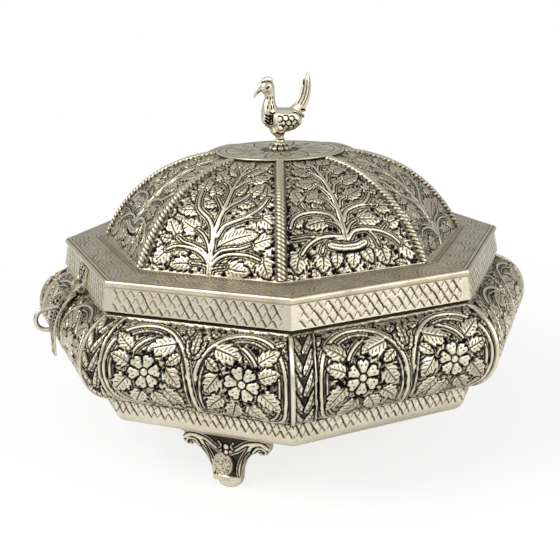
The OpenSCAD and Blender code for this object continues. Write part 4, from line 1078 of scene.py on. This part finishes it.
def make_foot(node, azimuth, shift):
    """Cast foot: a moulded plate, two scrolls, leaves that sweep down to a shell, and a plain round toe"""
    plate_w, depth, p = 43.0, 8.0, BASE_P
    top, plate_low = band_low.z, band_low.z - 2.2
    made = bmesh.new()

    def block(width, deep, high, z, set_back=0.0):
        place = Matrix.Translation((p - set_back - deep / 2, 0, z)) @ Matrix.Diagonal((deep, width, high, 1))
        bmesh.ops.create_cube(made, size=1, matrix=place)

    block(plate_w - 0.1, depth - 0.1, 1.15, top - 0.62, 0.05)
    block(plate_w - 2.2, depth - 0.9, 1.2, top - 1.6, 0.5)
    outline = [(-6.2, 3.1), (6.2, 3.1), (6.8, 8.8), (8.6, 13), (11.6, 16.6), (16.8, 20), (16.8, 24), (-16.8, 24),
               (-16.8, 20), (-11.6, 16.6), (-8.6, 13), (-6.8, 8.8)]
    face = made.faces.new([made.verts.new((p - 5.4, x, z)) for x, z in outline])
    drawn = bmesh.ops.extrude_face_region(made, geom=[face])
    moved = [v for v in drawn["geom"] if isinstance(v, bmesh.types.BMVert)]
    bmesh.ops.translate(made, vec=(4.95, 0, 0), verts=moved)
    for side in (-1, 1):
        place = Matrix.Translation((p - 2.9, side * 16.7, 20.5)) @ Matrix.Rotation(pi / 2, 4, "Y")
        bmesh.ops.create_cone(made, cap_ends=True, segments=40, radius1=3.15, radius2=3.15, depth=4.9, matrix=place)
    bmesh.ops.recalc_face_normals(made, faces=made.faces)
    toe = [(0, 0), (3.9, 0), (5.2, 1.2), (5.6, 3.1), (4.9, 5.2), (3.4, 6.2), (0, 6.2)]
    spun = turned(toe, 48, 1)
    bmesh.ops.translate(spun, vec=(p - 5.2, 0, 0), verts=spun.verts)
    made.from_mesh(to_mesh(spun, "toe"))
    mesh = melted(to_mesh(made, "foot"), 0.34, 3)
    at = coordinates(mesh)
    sheet = Sheet(at[:, 1], at[:, 2], 80 + azimuth)
    body = (sheet.v < plate_low + 0.2) & (sheet.v > 5.4)
    sheet.depth[body] = 1.0
    sheet.dark[body] = 0.75
    for side in (-1, 1):
        def mirrored(points):
            return [(side * x, z) for x, z in points]

        sheet.stems([
            (mirrored([(19.4, 20.4), (15.8, 22.1), (12, 20.9), (9.8, 17.6), (7.4, 13.4), (6.1, 9.4),
                       (6.2, 5.6)]), 1.7, 1.3),
            (mirrored([(14, 22.3), (9, 20.9), (5.2, 18.2), (2, 16.7), (0, 16.9)]), 1.3, 1.1),
            (mirrored([(12.4, 18), (14.4, 20.2), (17, 20.2), (18.2, 18.7), (17.2, 17.4), (16, 18.2)]), 1.1, 1.0),
        ])
        sheet.rib(mirrored([(10.6, 17.4), (8.6, 14.6), (7.6, 11), (7.3, 7)]), 0.5)
        sheet.rib(mirrored([(3.4, 20.8), (2.2, 19), (3.2, 17.9)]), 0.6)
        for notch in np.linspace(0, 1, 9):
            x, z = 11.2 - 4.2 * notch ** 0.7, 16.4 - 10 * notch
            sheet.groove(mirrored([(x - 1.1, z - 0.4), (x + 0.6, z + 0.2)]), 0.35, 0.3, 0.8, smooth=False)
    sheet.groove([(1.6, 14), (2.6, 11.2), (1.5, 8)], 0.5, 0.4)
    shell = np.hypot((sheet.u + 1.8) / 4.6, (sheet.v - 10.4) / 5.6)
    bowl = np.arange(len(shell))
    sheet.lay(bowl, ramp(shell, 1.02, 0.9), 0.25 + 0.35 * np.clip(shell, 0, 1) ** 2, 0.2)
    sheet.groove([(2.6, 14.4), (4, 11.4), (3.2, 7.6)], 0.7, 0.5)
    grain = ramp(sheet.rng.random(len(shell)), 0.72, 0.8) * ramp(shell, 0.95, 0.8)
    sheet.depth += 0.3 * grain
    sheet.dark += 0.5 * grain
    for z, radius in ((18.6, 1.25), (16.2, 1.0)):
        sheet.pearl((0, z), radius)
    sheet.lay(bowl, ramp(sheet.v, 5.6, 5.0), 0.0, 0.12)
    sheet.lay(bowl, ramp(sheet.v, plate_low - 0.1, plate_low + 0.3), 0.0, 0.15)
    sheet.ruled(sheet.v, top - 1.15, 0.4, 0.1, 0.75)
    carve(mesh, sheet, lambda n: n[:, 0], 0.85)
    place = outward_of(azimuth) @ Matrix.Translation((0, shift, 0))
    add_piece(f"{node}_cast", put(mesh, place), "root", oxidised, [node])


def make_fitting(node, body, voxel, azimuth, draw=None):
    """Small fitting after its CAD piece, its edges softened, with lines cut on the face that looks outward"""
    made = bmesh.new()
    made.from_mesh(frame["nodes"][node].data)
    bmesh.ops.remove_doubles(made, verts=made.verts, dist=1e-6)
    bmesh.ops.transform(made, matrix=outward_of(azimuth).inverted() @ Matrix.Scale(1 / MM, 4), verts=made.verts)
    mesh = melted(to_mesh(made, node), voxel, 2)
    at = coordinates(mesh)
    sheet = Sheet(at[:, 1], at[:, 2], 90)
    if draw:
        draw(sheet)
    carve(mesh, sheet, lambda n: np.hypot(n[:, 0], np.clip(n[:, 2], 0, 1)), 1.0)
    add_piece(f"{node}_worked", put(mesh, outward_of(azimuth)), body, oxidised, [node])


def hasp_lines(sheet):
    """Lengthwise lines down the strap, a cluster of pearls near its top and a cross on the tail"""
    low = sheet.v.min()
    sheet.matting(0.2, 1.3, 0.4)
    for x in (-5.2, -3.9, -2.6, 2.6, 3.9, 5.2):
        sheet.groove([(x, 73), (x * 0.96, 64), (x * 0.75, 54)], 0.4, 0.5, 0.85)
    for x in (-4.5, -3.2, 3.2, 4.5):
        for z in np.arange(63, 73, 1.7):
            sheet.pearl((x, z), 0.5)
    sheet.groove([(-1.9, low + 1), (1.9, low + 4.6)], 0.3, 0.3, 0.6)
    sheet.groove([(1.9, low + 1), (-1.9, low + 4.6)], 0.3, 0.3, 0.6)


def bracket_lines(sheet):
    """Three leaves that fan out over the bracket"""
    low, high = sheet.v.min(), sheet.v.max()
    sheet.dark[:] = 0.2
    sheet.leaf((0, low + 3.4), (0, high - 0.5), 4.4, teeth=0)
    for side in (-1, 1):
        sheet.leaf((side * 1.6, low + 3.4), (side * 5.2, high - 0.8), 3, teeth=0)


make_ropes()
make_crown()
make_rosette()
make_bird()
# Node, azimuth of its side, and how far it stands from that side's middle
for foot in (("foot_front_right", 45, 6.3), ("foot_back", 180, 0), ("foot_front_left", 315, -6.3)):
    make_foot(*foot)
make_fitting("hasp", "hasp", 0.26, 0, hasp_lines)
make_fitting("hasp_bracket", "lid", 0.26, 0, bracket_lines)
make_fitting("hinge_leaf_body", "root", 0.36, 180)
make_fitting("hinge_leaf_lid", "lid", 0.36, 180)


# Stage, light and camera

def make_stage():
    """Floor of matt white paper, the same all over"""
    made = bmesh.new()
    bmesh.ops.create_grid(made, x_segments=1, y_segments=1, size=3)
    mesh = to_mesh(made, "floor")
    paper, shader = new_material("white_studio_paper")
    shader.inputs["Base Color"].default_value = colour("#ffffff")
    shader.inputs["Roughness"].default_value = 0.9
    # To the camera the paper is partly white by itself, wholly so beyond 0.34 m, and the shadow stays near the box
    rays = add_node(paper, "ShaderNodeLightPath")
    place = add_node(paper, "ShaderNodeTexCoord")
    away = add_node(paper, "ShaderNodeVectorMath", {0: place.outputs["Object"]}, operation="LENGTH")
    share = add_node(paper, "ShaderNodeMapRange", {"Value": away.outputs["Value"], "From Min": 0.16, "From Max": 0.34,
                                                   "To Min": 0.8, "To Max": 1})
    share = add_node(paper, "ShaderNodeMath", {0: rays.outputs["Is Camera Ray"], 1: share.outputs[0]},
                     operation="MULTIPLY")
    white = add_node(paper, "ShaderNodeEmission", {"Color": (1, 1, 1, 1), "Strength": 1})
    mix = add_node(paper, "ShaderNodeMixShader", {0: share.outputs[0], 1: shader.outputs[0], 2: white.outputs[0]})
    out = paper.node_tree.nodes["Material Output"]
    paper.node_tree.links.new(mix.outputs[0], out.inputs["Surface"])
    mesh.materials.append(paper)
    floor = add_object("floor", mesh)


def make_lamp(name, place, aim, size, watts):
    data = bpy.data.lights.new(name, "AREA")
    data.shape = "RECTANGLE"
    data.size, data.size_y = size
    data.energy = watts
    lamp = add_object(name, data)
    lamp.location = place
    lamp.rotation_mode = "QUATERNION"
    lamp.rotation_quaternion = (Vector(aim) - Vector(place)).to_track_quat("-Z", "Y")


def make_light():
    """Two soft lamps and an even room, which the camera sees as white"""
    world = bpy.data.worlds.new("studio")
    bpy.context.scene.world = world
    world.use_nodes = True
    world.node_tree.nodes.clear()
    room = add_node(world, "ShaderNodeBackground", {"Color": colour("#f4f6fa"), "Strength": 0.6})
    seen = add_node(world, "ShaderNodeBackground", {"Color": (1, 1, 1, 1), "Strength": 1})
    rays = add_node(world, "ShaderNodeLightPath")
    mix = add_node(world, "ShaderNodeMixShader",
                   {0: rays.outputs["Is Camera Ray"], 1: room.outputs[0], 2: seen.outputs[0]})
    add_node(world, "ShaderNodeOutputWorld", {"Surface": mix.outputs[0]})
    middle = (0, 0, 0.08)
    make_lamp("key", (0.1, -0.9, 0.9), middle, (0.6, 0.6), 9)
    make_lamp("fill", (1.0, 0.5, 0.6), middle, (0.7, 0.7), 5.5)


def make_camera():
    """The photograph's view: from the right of the front, a little above, with the box low in a square frame"""
    aim = Vector((0, 0, lid_z * MM))
    distance, azimuth, elevation, roll = 0.440, radians(66.04), radians(13.75), radians(-1.344)
    data = bpy.data.cameras.new("camera")
    data.sensor_width = 36
    data.lens = 57.71
    data.shift_x = -0.0037
    data.shift_y = -0.0858
    data.clip_start, data.clip_end = 0.01, 20
    camera = add_object("camera", data)
    back = Vector((sin(azimuth) * cos(elevation), -cos(azimuth) * cos(elevation), sin(elevation)))
    camera.location = aim + back * distance
    camera.rotation_mode = "QUATERNION"
    camera.rotation_quaternion = (-back).to_track_quat("-Z", "Y") @ Matrix.Rotation(roll, 4, "Z").to_quaternion()
    bpy.context.scene.camera = camera


make_stage()
make_light()
make_camera()
bpy.context.scene.view_settings.view_transform = "Standard"
